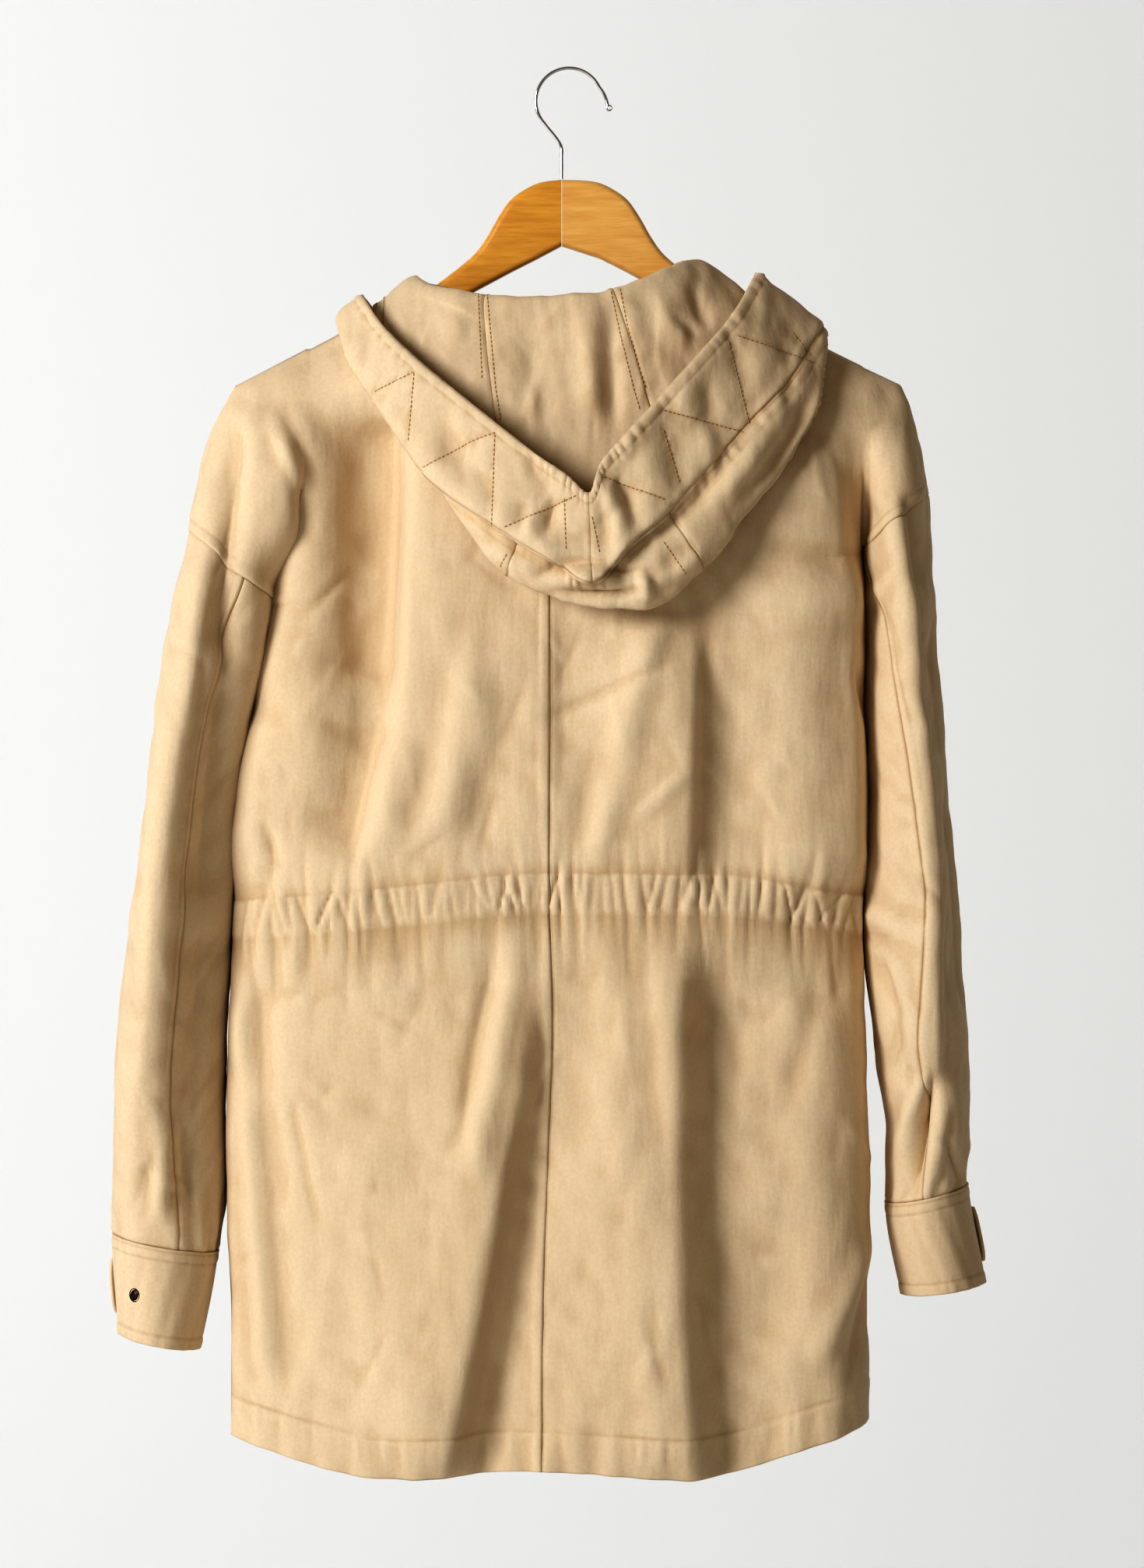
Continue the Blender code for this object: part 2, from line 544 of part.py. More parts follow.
def drawn_back(vert, faces):
    """How far a panel's border vertex moves into its panel, to leave half the gap at the seam."""
    edges = [e for e in vert.link_edges if any(f in faces for f in e.link_faces)]
    border = [e for e in edges if sum(f in faces for f in e.link_faces) == 1]
    if not border:
        return Vector()
    inner = [e for e in edges if e not in border]
    if inner:
        pull = sum(((e.other_vert(vert).co - vert.co).normalized() for e in inner), Vector())
    else:
        pull = sum((f.calc_center_median() - vert.co for f in vert.link_faces if f in faces), Vector())
    return pull.normalized() * SEAM_GAP / 2 * MM


def split_rim(wall, laid, order):
    """Halve each face of a wall's rim along the same diagonal as its neighbour's, so that the gap stays even."""
    rim = [f for f in wall.faces if 0 < sum(v in laid for v in f.verts) < len(f.verts)]
    for face in rim:
        first = min((v for v in face.verts if v not in laid), key=lambda v: v[order])
        last = max((v for v in face.verts if v in laid), key=lambda v: v[order])
        bmesh.utils.face_split(face, first, last)


def cut_panel(shell, name, finish, thickness=CLOTH):
    """One panel of the shell as a closed wall of cloth."""
    bm, tag, names = shell
    number = names.index(name)
    faces = [f for f in bm.faces if f[tag] == number]
    chosen = set(faces)
    verts = sorted({v for f in faces for v in f.verts}, key=lambda v: v.index)
    wall = bmesh.new()
    inner = wall.verts.layers.float_vector.new("inner")
    order = wall.verts.layers.int.new("order")
    made = {}
    for vert in verts:
        place = vert.co + drawn_back(vert, chosen)
        made[vert] = wall.verts.new(place)
        made[vert][inner] = place - vert.normal * thickness * MM
        made[vert][order] = vert.index
    for face in faces:
        wall.faces.new([made[v] for v in face.verts])
    grown = bmesh.ops.extrude_face_region(wall, geom=wall.faces[:], use_keep_orig=True)
    laid = {item for item in grown["geom"] if isinstance(item, bmesh.types.BMVert)}
    for vert in laid:
        vert.co = vert[inner]
    split_rim(wall, laid, order)
    bmesh.ops.recalc_face_normals(wall, faces=wall.faces)
    return add_object(name, wall, finish)


def add_object(name, bm, finish, smooth_angle=40.0):
    mesh = bpy.data.meshes.new(name)
    bm.to_mesh(mesh)
    bm.free()
    mesh.shade_smooth()
    mesh.set_sharp_from_angle(angle=np.radians(smooth_angle))
    mesh.materials.append(finish)
    thing = bpy.data.objects.new(name, mesh)
    bpy.context.scene.collection.objects.link(thing)
    return thing


def finish_of(name, colour, roughness, metallic=0.0):
    material = bpy.data.materials.new(name)
    material.use_nodes = True
    shader = material.node_tree.nodes["Principled BSDF"]
    shader.inputs["Base Color"].default_value = (*colour, 1.0)
    shader.inputs["Roughness"].default_value = roughness
    shader.inputs["Metallic"].default_value = metallic
    return material


def build_coat(cloth):
    """Back, fronts, sleeves and cuffs, cut from one shell."""
    patches = []
    for side, word in ((LEFT, "left"), (RIGHT, "right")):
        for face, panel in ((BACK, "back"), (FRONT, "front")):
            patches.append((f"{panel}_{word}", torso_patch(side, face)))
            patches.append((f"{panel}_{word}", cap_patch(side, face)))
        strips = sleeve_patches(side, SLEEVE_ROWS)
        parts = ("top", "under", "under", "top")
        patches += [(f"sleeve_{word}_{part}", strip) for part, strip in zip(parts, strips)]
        patches += [(f"cuff_{word}", strip) for strip in sleeve_patches(side, CUFF_ROWS)]
    shell = sew_shell(patches)
    for name in shell[2]:
        cut_panel(shell, name, cloth)
    shell[0].free()


def hood_stations():
    """Where the hood's columns lie: evenly, but over the shoulders on the neckline's own columns."""
    def over_shoulder(s):
        return min(abs(s - HOOD_LEFT_SHOULDER), abs(s - HOOD_RIGHT_SHOULDER)) < HOOD_OVER_SHOULDER

    stations = {HOOD_LEFT_SHOULDER, HOOD_RIGHT_SHOULDER}
    stations.update(s for s in np.linspace(0.0, HOOD_END, HOOD_COLUMNS + 1) if not over_shoulder(s))
    fine = np.linspace(0.0, HOOD_END, 50 * HOOD_COLUMNS + 1)
    neck = column(HOOD, "neck", range(len(HOOD)), fine)
    for side in (LEFT, RIGHT):
        for x in torso(side, columns_of(side, BACK), 0.0, BACK)[:, 0]:
            passed = np.flatnonzero((neck[:-1] - x) * (neck[1:] - x) < 0)
            stations.update(s for s in fine[passed] if over_shoulder(s))
    return sorted(stations)


def hood_rows(fold, end):
    """Where the points of a section lie along it, and which of them is on the band's seam."""
    step = min(FOLD_STEP, fold / 3)
    brim = np.linspace(0.0, min(fold - 2 * step, BAND_WIDTH), BAND_POINTS)
    turn = ((brim[-1] + fold - step) / 2, fold - step, fold, fold + step)
    at = np.concatenate((brim, turn, np.linspace(fold + 2 * step, end, BODY_POINTS)))
    seam = int(np.argmin(abs(at - BAND_WIDTH)))
    at[seam] = BAND_WIDTH
    return at, seam


def build_hood(cloth):
    """Centre panel, side panels and brim bands, cut from one shell."""
    stations = hood_stations()
    bands, bodies = [], []
    for s in stations:
        points, length, knots = hood_section(s)
        at, seam = hood_rows(knots[HOOD_FOLD_KNOT], length[-1])
        row = np.stack([np.interp(at, length, points[:, k]) for k in range(3)], axis=-1)
        bands.append(row[:seam + 1])
        bodies.append(row[seam:])

    def between(rows, first, last):
        return [row for s, row in zip(stations, rows) if first <= s <= last]

    shell = sew_shell([
        ("hood_band_left", between(bands, 0, HOOD_MIDDLE), steps_from_start),
        ("hood_band_right", between(bands, HOOD_MIDDLE, HOOD_END), steps_from_start),
        ("hood_side_left", between(bodies, 0, HOOD_CENTRE_FROM), steps_from_end),
        ("hood_centre", between(bodies, HOOD_CENTRE_FROM, HOOD_CENTRE_TO), steps_from_end),
        ("hood_side_right", between(bodies, HOOD_CENTRE_TO, HOOD_END), steps_from_end),
    ])
    for name in shell[2]:
        cut_panel(shell, name, cloth)
    shell[0].free()


def over_fronts(offset, v, out):
    """Point over the fronts, offset across from the line where they meet and moved out of them, and the way out."""
    side = LEFT if offset < 0 else RIGHT
    first_column = columns_of(side, FRONT)[1]

    def on_panel(at):
        middle, beside = torso(side, 0.0, at, FRONT), torso(side, first_column, at, FRONT)
        return middle + (beside - middle) * abs(offset / (beside[0] - middle[0]))

    down = on_panel(v + SLOPE_STEP) - on_panel(v - SLOPE_STEP)
    away = np.array([0.0, -down[2], down[1]]) / np.hypot(down[1], down[2])
    return on_panel(v) + away * out, away


def build_placket(cloth, metal):
    """The strip over the line where the fronts meet, and its snaps."""
    top = PLACKET_CLEAR + CLOTH
    panel_rows = SHOULDER_ROWS + BACK_ROWS + CASING_ROWS + SKIRT_ROWS
    across = (-PLACKET_HALF, 0.0, PLACKET_HALF)
    along = [min(v, PLACKET_TO) for v in panel_rows if v >= PLACKET_FROM]
    rows = [np.array([over_fronts(offset, v, top)[0] for offset in across]) for v in along]
    shell = sew_shell([("placket", rows)], facing=(0, FRONT, 0))
    cut_panel(shell, "placket", cloth)
    shell[0].free()
    for number, v in enumerate(PLACKET_SNAP_ROWS, start=1):
        add_snap(f"placket_snap_{number}", *over_fronts(0.0, v, top), metal)


def add_snap(name, seat, outward, metal):
    """A domed snap that stands on a seat point and faces outward."""
    bm = bmesh.new()
    rim = bmesh.ops.create_circle(bm, segments=SNAP_SIDES, radius=SNAP_RADIUS * MM, cap_ends=True)
    base = rim["verts"][0].link_faces[0]
    rise = bmesh.ops.extrude_face_region(bm, geom=[base], use_keep_orig=True)
    top = [item for item in rise["geom"] if isinstance(item, bmesh.types.BMFace)]
    bmesh.ops.translate(bm, verts=top[0].verts[:], vec=Vector((0, 0, SNAP_HEIGHT * 0.55 * MM)))
    bmesh.ops.inset_region(bm, faces=top, thickness=SNAP_RADIUS * 0.45 * MM, depth=SNAP_HEIGHT * 0.45 * MM)
    bmesh.ops.recalc_face_normals(bm, faces=bm.faces)
    outward = Vector(outward).normalized()
    turn = outward.to_track_quat("Z", "Y").to_matrix()
    bmesh.ops.rotate(bm, verts=bm.verts, cent=Vector(), matrix=turn)
    place = Vector(seat) * MM + outward * SNAP_CLEAR * MM
    bmesh.ops.translate(bm, verts=bm.verts, vec=place)
    return add_object(name, bm, metal)


def cuff_out(side, turn, v, out):
    """Point of the cuff moved straight out of its wall, and the direction out."""
    step = 1e-3
    point = arm_point(side, turn, v)
    round_it = arm_point(side, turn + step, v) - arm_point(side, turn - step, v)
    along = arm_point(side, turn, v + step) - arm_point(side, turn, v - step)
    away = np.cross(round_it, along)
    away /= np.linalg.norm(away)
    middle = arm_point(side, 0.0, v) / 2 + arm_point(side, 0.5, v) / 2
    if np.dot(away, point - middle) < 0:
        away = -away
    return point + away * out, away


def build_cuff_fittings(cloth, metal):
    """Tab and snap of each cuff."""
    for side, word in ((LEFT, "left"), (RIGHT, "right")):
        rows = []
        for v in np.linspace(TAB.top, TAB.low, 4):
            sewn = arm_turns(side, v)[0][TAB.sewn_column]
            turns = np.linspace(TAB.tip_turn, -sewn, TAB_POINTS)
            out = np.linspace(TAB.tip_clear, TAB.clear, TAB_POINTS) + TAB_THICKNESS
            rows.append(np.array([cuff_out(side, turn, v, away)[0] for turn, away in zip(turns, out)]))
        shell = sew_shell([(f"cuff_tab_{word}", rows)], facing=(side, 0, 0))
        cut_panel(shell, f"cuff_tab_{word}", cloth, TAB_THICKNESS)
        shell[0].free()
        v = CUFF_SNAP_ALONG[side]
        turn = CUFF_SNAP_TURN[side]
        out = 0.0 if side == LEFT else TAB_THICKNESS + 1.9
        seat, away = cuff_out(side, turn, v, out)
        add_snap(f"cuff_snap_{word}", seat, away, metal)


def hanger_outline():
    """Half outline of the hanger, as distance from the middle and drop, from the joint round to the joint."""
    reaches = HANGER_ARM[1:]
    arm = list(zip(reaches, smooth(SHOULDER_REACH, SHOULDER_DROP, reaches) + HANGER_UNDER_RIDGE))
    start = (HANGER_ARM[0], HANGER_HUMP[-1][1] + 7.0)
    tip_reach, tip_drop = arm[-1]
    tip = [(tip_reach + 4.0, tip_drop + 6.0), (tip_reach + 3.0, tip_drop + HANGER_TIP_HEIGHT)]
    hump, _, _ = round_path(np.array(HANGER_HUMP + (start,)), steps=2)
    return [tuple(point) for point in hump] + arm + tip + list(HANGER_UNDER)


def build_hanger(woods):
    """Two halves of wood that meet at a joint under the hook."""
    for side, word in ((LEFT, "left"), (RIGHT, "right")):
        outline = []
        for reach, drop in hanger_outline():
            x = HANGER_JOINT + side * SEAM_GAP / 2 if reach <= abs(HANGER_JOINT) else side * reach
            outline.append((x, drop))
        bm = bmesh.new()
        half = HANGER_THICKNESS / 2
        face = bm.faces.new([bm.verts.new(Vector((x, -half, -drop)) * MM) for x, drop in outline])
        rise = bmesh.ops.extrude_face_region(bm, geom=[face], use_keep_orig=True)
        verts = [item for item in rise["geom"] if isinstance(item, bmesh.types.BMVert)]
        bmesh.ops.translate(bm, verts=verts, vec=Vector((0, HANGER_THICKNESS * MM, 0)))
        bmesh.ops.recalc_face_normals(bm, faces=bm.faces)
        joint = (HANGER_JOINT + side * SEAM_GAP / 2) * MM
        rims = []
        for edge in bm.edges:
            first, second = (v.co for v in edge.verts)
            in_face = abs(first.y - second.y) < 1e-6
            at_joint = abs(first.x - joint) < 1e-6 and abs(second.x - joint) < 1e-6
            if in_face and not at_joint:
                rims.append(edge)
        bmesh.ops.bevel(bm, geom=rims, offset=HANGER_ROUNDING * MM, offset_type="OFFSET", segments=2, profile=0.5,
                        affect="EDGES", material=-1)
        add_object(f"hanger_{word}", bm, woods[side])


def hook_route():
    """The wire's middle line, from its tip over the bow to the foot of the stem."""
    angles = np.radians(np.linspace(BOW_FROM, BOW_TO, 24))
    flare = TIP_FLARE * np.clip((np.radians(25.0) - angles) / np.radians(33.0), 0, 1)
    radius = BOW_RADIUS + flare
    x = BOW_MIDDLE[0] + radius * np.cos(angles)
    drop = BOW_MIDDLE[1] - radius * np.sin(angles)
    stem = [[STEM_X - 0.4, STEM_FROM - 2.0], [STEM_X, STEM_FROM + 6.0], [STEM_X, STEM_TO]]
    knee = np.array([[x[-1], drop[-1]]] + stem)
    bend, _, _ = round_path(np.column_stack([knee, np.zeros(4)]), steps=4)
    route = np.vstack([np.column_stack([x, drop])[:-1], bend[:, :2]])
    return [Vector((px, 0.0, -pd)) * MM for px, pd in route]


def build_hook(metal):
    """The wire hook."""
    route = hook_route()
    bow = bpy.data.curves.new("hook", "CURVE")
    bow.dimensions = "3D"
    bow.bevel_depth = WIRE * MM
    bow.bevel_resolution = 2
    bow.use_fill_caps = True
    line = bow.splines.new("POLY")
    line.points.add(len(route) - 1)
    for point, place in zip(line.points, route):
        point.co = (*place, 1.0)
    bow.materials.append(metal)
    thing = bpy.data.objects.new("hook", bow)
    bpy.context.scene.collection.objects.link(thing)
    return thing


def main():
    for thing in list(bpy.data.objects):
        bpy.data.objects.remove(thing, do_unlink=True)
    cloth = finish_of("cotton_twill", (0.62, 0.45, 0.25), 0.9)
    honey = finish_of("honey_wood", (0.62, 0.30, 0.06), 0.4)
    pale = finish_of("pale_wood", (0.78, 0.44, 0.14), 0.4)
    chrome = finish_of("chrome_wire", (0.75, 0.76, 0.78), 0.12, 1.0)
    bronze = finish_of("dark_bronze", (0.05, 0.035, 0.03), 0.35, 1.0)
    build_coat(cloth)
    build_hood(cloth)
    build_placket(cloth, bronze)
    build_cuff_fittings(cloth, bronze)
    build_hanger({LEFT: honey, RIGHT: pale})
    build_hook(chrome)


main()
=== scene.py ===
"""Hooded parka coat on a wooden hanger: its cloth, sewing, wood and wire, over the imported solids.

Sizes are in millimetres unless a name ends in _m. Heights are drops: how far a point lies under the rod.
+X is to the right of someone who looks at the coat's back, and +Y is away from that person.
"""

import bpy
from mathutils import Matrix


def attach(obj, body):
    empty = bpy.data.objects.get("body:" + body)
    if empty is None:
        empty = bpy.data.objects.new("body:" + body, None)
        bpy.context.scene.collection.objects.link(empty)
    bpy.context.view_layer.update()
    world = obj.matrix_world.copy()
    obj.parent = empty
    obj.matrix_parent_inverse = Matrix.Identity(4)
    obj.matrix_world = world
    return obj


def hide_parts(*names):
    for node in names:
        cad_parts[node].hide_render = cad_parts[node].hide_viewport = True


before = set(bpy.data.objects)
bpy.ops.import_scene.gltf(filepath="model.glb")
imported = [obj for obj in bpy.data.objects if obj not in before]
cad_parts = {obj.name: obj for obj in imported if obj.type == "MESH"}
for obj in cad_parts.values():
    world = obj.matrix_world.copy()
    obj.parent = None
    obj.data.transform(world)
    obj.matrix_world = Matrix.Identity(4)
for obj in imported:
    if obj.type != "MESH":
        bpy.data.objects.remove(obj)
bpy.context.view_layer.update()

import copy
import logging
from collections.abc import Iterable, Sequence
from dataclasses import dataclass, field
from enum import Enum, IntEnum
from typing import NamedTuple

import bmesh
import bpy
import numpy as np
from mathutils import Matrix, Vector
from mathutils.bvhtree import BVHTree

log = logging.getLogger("coat")

MM = 0.001
CLOTH_WALL = 1.4
WELD = 0.02
# Tone from relief: paler on raised cloth (rubbed wear), darker in its hollows (painted shade).
WEAR_AND_SHADE_REACH = 2
WEAR_AND_SHADE_HEIGHT = 2.4
WEAR_AND_SHADE_RANGE = (-0.16, 0.3)
CREASE_TAPER = 28.0
TAPER_RANGE = (0.14, 0.5)
ANY_PHASE = (0.0, 6.3)

Array = np.ndarray
Material, Mesh, Node = bpy.types.Material, bpy.types.Mesh, bpy.types.Node
Piece, Socket = bpy.types.Object, bpy.types.NodeSocket
Span = tuple[float, float]
Triple = tuple[float, float, float]
Colour = tuple[float, float, float]
Row = tuple[float, ...]


class Way(IntEnum):
    """A way along one axis."""

    @property
    def word(self) -> str:
        """The way as a piece's name has it."""
        return self.name.lower()


class Side(Way):
    """Which half of the coat, as the way it lies along X."""

    LEFT = -1
    RIGHT = 1


class Face(Way):
    """Back or front of the coat, as the way it lies along Y."""

    BACK = -1
    FRONT = 1


class Slot(Enum):
    """The record's names for what a piece is made of."""

    CLOTH = "cotton_twill"
    BRONZE = "dark_bronze"
    HONEY = "honey_wood"
    PALE = "pale_wood"
    CHROME = "chrome_wire"


# The form: the same tables as the solids, read finely.


class Neck(NamedTuple):
    """How deep and how low the neck opening runs at its middle."""

    depth: float
    fall: float


class Girth(NamedTuple):
    """The torso at one drop: its two edges, and how far its back and front stand out."""

    drop: float
    left: float
    right: float
    back: float
    front: float


class Fold(NamedTuple):
    """A fold of the torso that the solids also have."""

    x_top: float
    top: float
    x_low: float
    low: float
    bow: float
    left: float
    right: float
    height: float


class Crease(NamedTuple):
    """A finer trough (below 0) or ridge: its ends, its bow, and its width on each side of its crest."""

    x: float
    drop: float
    x_to: float
    drop_to: float
    bow: float
    before: float
    after: float
    height: float


class Arm(NamedTuple):
    """One ring of an arm."""

    outer_drop: float
    inner_drop: float
    outer: float
    inner: float
    crest: float
    back: float
    front: float
    valley: float
    seam: float


class HoodSection(NamedTuple):
    """One section of the hood: where it leaves the neckline, its roll, its fold and its free edge."""

    neck: float
    roll_x: float
    roll_y: float
    roll_drop: float
    fold_x: float
    fold_y: float
    fold_drop: float
    edge_x: float
    edge_y: float
    edge_drop: float


def table(kind: type[tuple], *rows: Row) -> tuple:
    """Rows of bare numbers as rows of a named kind."""
    return tuple(kind(*row) for row in rows)


def smooth(knots: Sequence[float], values: Sequence[float], at: Array) -> Array:
    """Monotone cubic through knots.

    Args:
        knots: rising places where the values are known.
        values: the value at each knot.
        at: where to read it.

    Returns:
        The values there.
    """
    knots, values = np.asarray(knots, float), np.asarray(values, float)
    at = np.clip(np.asarray(at, float), knots[0], knots[-1])
    step = np.diff(knots)
    rise = np.diff(values) / step
    slope = np.concatenate(([rise[0]], np.zeros(len(rise) - 1), [rise[-1]]))
    for k in range(1, len(rise)):
        if rise[k - 1] * rise[k] > 0:
            before, after = 2 * step[k] + step[k - 1], step[k] + 2 * step[k - 1]
            slope[k] = (before + after) / (before / rise[k - 1] + after / rise[k])
    i = np.clip(np.searchsorted(knots, at, side="right") - 1, 0, len(step) - 1)
    t = (at - knots[i]) / step[i]
    ends = values[i] * (1 + 2 * t) * (1 - t) ** 2 + values[i + 1] * t * t * (3 - 2 * t)
    return ends + step[i] * t * (1 - t) * (slope[i] * (1 - t) - slope[i + 1] * t)


def column(rows: Sequence[tuple], name: str, at: Array, knots: Sequence[float] | None = None) -> Array:
    """One named column of a table, smooth between its rows, which lie at the knots or at their numbers."""
    return smooth(range(len(rows)) if knots is None else knots, [getattr(row, name) for row in rows], at)


def ease(low: float, high: float, at: Array) -> Array:
    """0 below low, 1 above high, and a soft step between."""
    t = np.clip((np.asarray(at, float) - low) / (high - low), 0.0, 1.0)
    return t * t * (3 - 2 * t)


def refine(knots: Sequence[float], scale: float, step: float) -> Array:
    """Places between knots, so that none is further than step from the next.

    Args:
        knots: places that are kept.
        scale: millimetres for each unit of the knots.
        step: widest spacing in millimetres.

    Returns:
        The knots and the places between them.
    """
    runs = [np.linspace(a, b, max(1, int(np.ceil((b - a) * scale / step))), endpoint=False)
            for a, b in zip(knots, knots[1:])]
    return np.concatenate(runs + [[knots[-1]]])


def round_path(path: Array, steps: int = 14) -> tuple[Array, Array, Array]:
    """A smooth curve through the points of a path.

    Args:
        path: the points.
        steps: pieces of curve between two of them.

    Returns:
        The curve's points, the length so far at each, and that length at the path's own points.
    """
    reach = np.concatenate(([0.0], np.cumsum(np.sqrt(np.linalg.norm(np.diff(path, axis=0), axis=1)))))
    at = np.concatenate([np.linspace(a, b, steps, endpoint=False) for a, b in zip(reach, reach[1:])]
                        + [reach[-1:]])
    tangent = np.gradient(path, reach, axis=0)
    i = np.clip(np.searchsorted(reach, at, side="right") - 1, 0, len(reach) - 2)
    h = (reach[i + 1] - reach[i])[:, None]
    t = ((at - reach[i]) / h[:, 0])[:, None]
    points = (path[i] * (1 + 2 * t) * (1 - t) ** 2 + path[i + 1] * t * t * (3 - 2 * t)
              + h * t * (1 - t) * (tangent[i] * (1 - t) - tangent[i + 1] * t))
    length = np.concatenate(([0.0], np.cumsum(np.linalg.norm(np.diff(points, axis=0), axis=1))))
    return points, length, length[::steps]


@dataclass(frozen=True)
class BodyForm:
    """Outer surface of the torso and the arms."""

    neck_half: float = 100.0
    neck_drop: float = 146.5
    neck_bow: float = 0.6
    neck_scoop: float = 1.3
    neck: dict[Face, Neck] = field(default_factory=lambda: {
        Face.BACK: Neck(38.0, 20.0), Face.FRONT: Neck(46.0, 88.0),
    })
    shoulder_reach: Row = (100.0, 155.0, 226.0, 260.0)
    shoulder_drop: Row = (146.5, 179.8, 215.7, 232.9)
    roll_length: float = 150.0
    roll_power: float = 0.65
    centre_drop: Row = (160.0, 360.0, 560.0, 640.0, 740.0, 840.0, 945.0)
    centre_x: Row = (-4.0, -13.0, -13.0, -11.0, -14.0, -17.0, -17.6)
    side_roundness: float = 2.6
    guess_from: float = 200.0
    guess_run: float = 160.0
    fold_root: float = 60.0
    fold_ends: Span = (60.0, 50.0)
    girths: tuple[Girth, ...] = table(
        Girth,
        (190, -176, 198, 50, 48), (266, -177, 198, 54, 52), (320, -189, 197, 58, 55),
        (377, -199, 199, 61, 57), (440, -211, 196, 62, 58), (482, -220, 198, 61, 57),
        (524, -225, 200, 58, 54), (578, -228, 199, 54, 50), (640, -229.5, 199.5, 57, 53),
        (700, -232, 200.5, 60, 56), (777, -231.5, 201.5, 62, 58), (851, -228.5, 201.5, 63, 59),
        (950, -229, 200, 64, 60),
    )
    across: Row = (-1.0, -0.5, 0.0, 0.5, 1.0)
    levels: tuple[Row, ...] = (
        (362, 362, 358, 345, 325),
        (565, 555, 545, 546, 561),
        (588, 578, 569, 570, 585),
        (926, 948, 944, 948, 914),
    )
    folds: dict[Face, tuple[Fold, ...]] = field(default_factory=lambda: {
        Face.BACK: table(
            Fold,
            (-132, 230, -122, 480, 4, 26, 34, -13), (-178, 250, -196, 480, 6, 20, 24, 6),
            (84, 370, 76, 575, -2, 46, 11, 9), (112, 400, 108, 575, 0, 16, 30, -5),
            (72, 575, 80, 975, -8, 62, 17, 15), (97, 585, 110, 975, -4, 12, 42, -11),
            (-28, 610, -94, 975, 8, 62, 15, 14), (-14, 620, -62, 975, 8, 10, 30, -7),
            (-42, 575, -70, 740, -4, 7, 12, -6), (-222, 610, -202, 930, -6, 8, 16, -7),
            (160, 600, 176, 960, 4, 20, 22, 5),
        ),
        Face.FRONT: table(
            Fold,
            (-120, 260, -126, 520, 0, 26, 30, -9), (128, 260, 120, 520, 0, 26, 30, -9),
            (-96, 600, -120, 975, 6, 34, 20, 10), (88, 600, 112, 975, -6, 20, 34, 10),
            (-170, 640, -160, 975, 0, 18, 22, -7), (150, 640, 158, 975, 0, 22, 18, -7),
        ),
    })
    arms: dict[Side, tuple[Arm, ...]] = field(default_factory=lambda: {
        Side.LEFT: table(
            Arm,
            (215.7, 190.6, -226, -178.2, 0.50, 50, 48, 49, 0.33),
            (240, 233.4, -239, -178.6, 0.48, 50, 50, 48, 0.33),
            (268, 276.3, -249, -181, 0.45, 53, 52, 38, 0.33),
            (293, 319.1, -254.5, -191, 0.42, 57, 56, 14, 0.33),
            (314, 362, -257.5, -199.5, 0.40, 60, 60, 3.5, 0.34),
            (392, 412, -268, -209, 0.36, 62, 63, 0, 0.33), (482, 486, -281.5, -223, 0.33, 62, 64, 0, 0.32),
            (588, 588, -297.5, -231, 0.32, 61, 64, 0, 0.32), (694, 694, -308, -235, 0.34, 58, 60, 0, 0.31),
            (752, 754, -309, -234.5, 0.40, 52, 54, 0, 0.31),
            (790.5, 803, -309, -240, 0.48, 44, 46, 0, 0.31),
            (858, 869, -304.5, -252.5, 0.50, 40, 42, 0, 0.31),
        ),
        Side.RIGHT: table(
            Arm,
            (214.7, 203.5, 224, 200.2, 0.50, 50, 48, 49, 0.48),
            (234, 233.9, 232, 201, 0.50, 50, 50, 47, 0.48),
            (252, 264.2, 237, 203.5, 0.50, 52, 52, 30, 0.48),
            (271, 294.6, 240.5, 203.5, 0.50, 54, 54, 12, 0.48),
            (289, 325, 242.7, 202.5, 0.50, 56, 57, 3.5, 0.47),
            (376, 392, 248.6, 204, 0.50, 58, 60, 0, 0.34), (472, 474, 255.4, 204, 0.36, 59, 61, 0, 0.29),
            (562, 562, 263.4, 204, 0.28, 59, 61, 0, 0.28), (668, 668, 269.8, 209, 0.46, 56, 58, 0, 0.28),
            (721, 721, 271.3, 217.5, 0.46, 50, 52, 0, 0.28),
            (757, 770, 269.8, 216.7, 0.50, 43, 45, 0, 0.28),
            (824, 832, 281.4, 227.3, 0.50, 40, 42, 0, 0.28),
        ),
    })
    v_armpit: float = 1.0
    v_casing_top: float = 2.0
    v_casing_low: float = 3.0
    v_hem: float = 4.0
    v_seam: float = 4.0
    v_cuff: float = 10.0
    v_cuff_edge: float = 11.0

    def edge_x(self, side: Side) -> float:
        """Place across of the upper edge's end on one side."""
        return getattr(self.girths[0], side.word)

    def girth(self, name: str, drop: Array) -> Array:
        """One measure of the torso at a drop."""
        return column(self.girths, name, drop, [row.drop for row in self.girths])

    def ridge_drop(self, x: Array, face: Face) -> Array:
        """Drop of the torso's upper edge: the neckline, then the shoulder ridge.

        Args:
            x: place across.
            face: back or front.

        Returns:
            The drop there.
        """
        away = np.abs(x)
        inside = np.clip(away / self.neck_half, 0.0, 1.0)
        neckline = self.neck_drop + self.neck[face].fall * (1 - inside ** 2) ** self.neck_scoop
        shoulder = smooth(self.shoulder_reach, self.shoulder_drop, away)
        return np.where(away < self.neck_half, neckline, shoulder)

    def roll(self, below: Array) -> Array:
        """How much of its full depth the cloth has, a given way below the upper edge."""
        share = np.clip(below / self.roll_length, 0.0, 1.0)
        return (1 - (1 - share) ** 2) ** self.roll_power

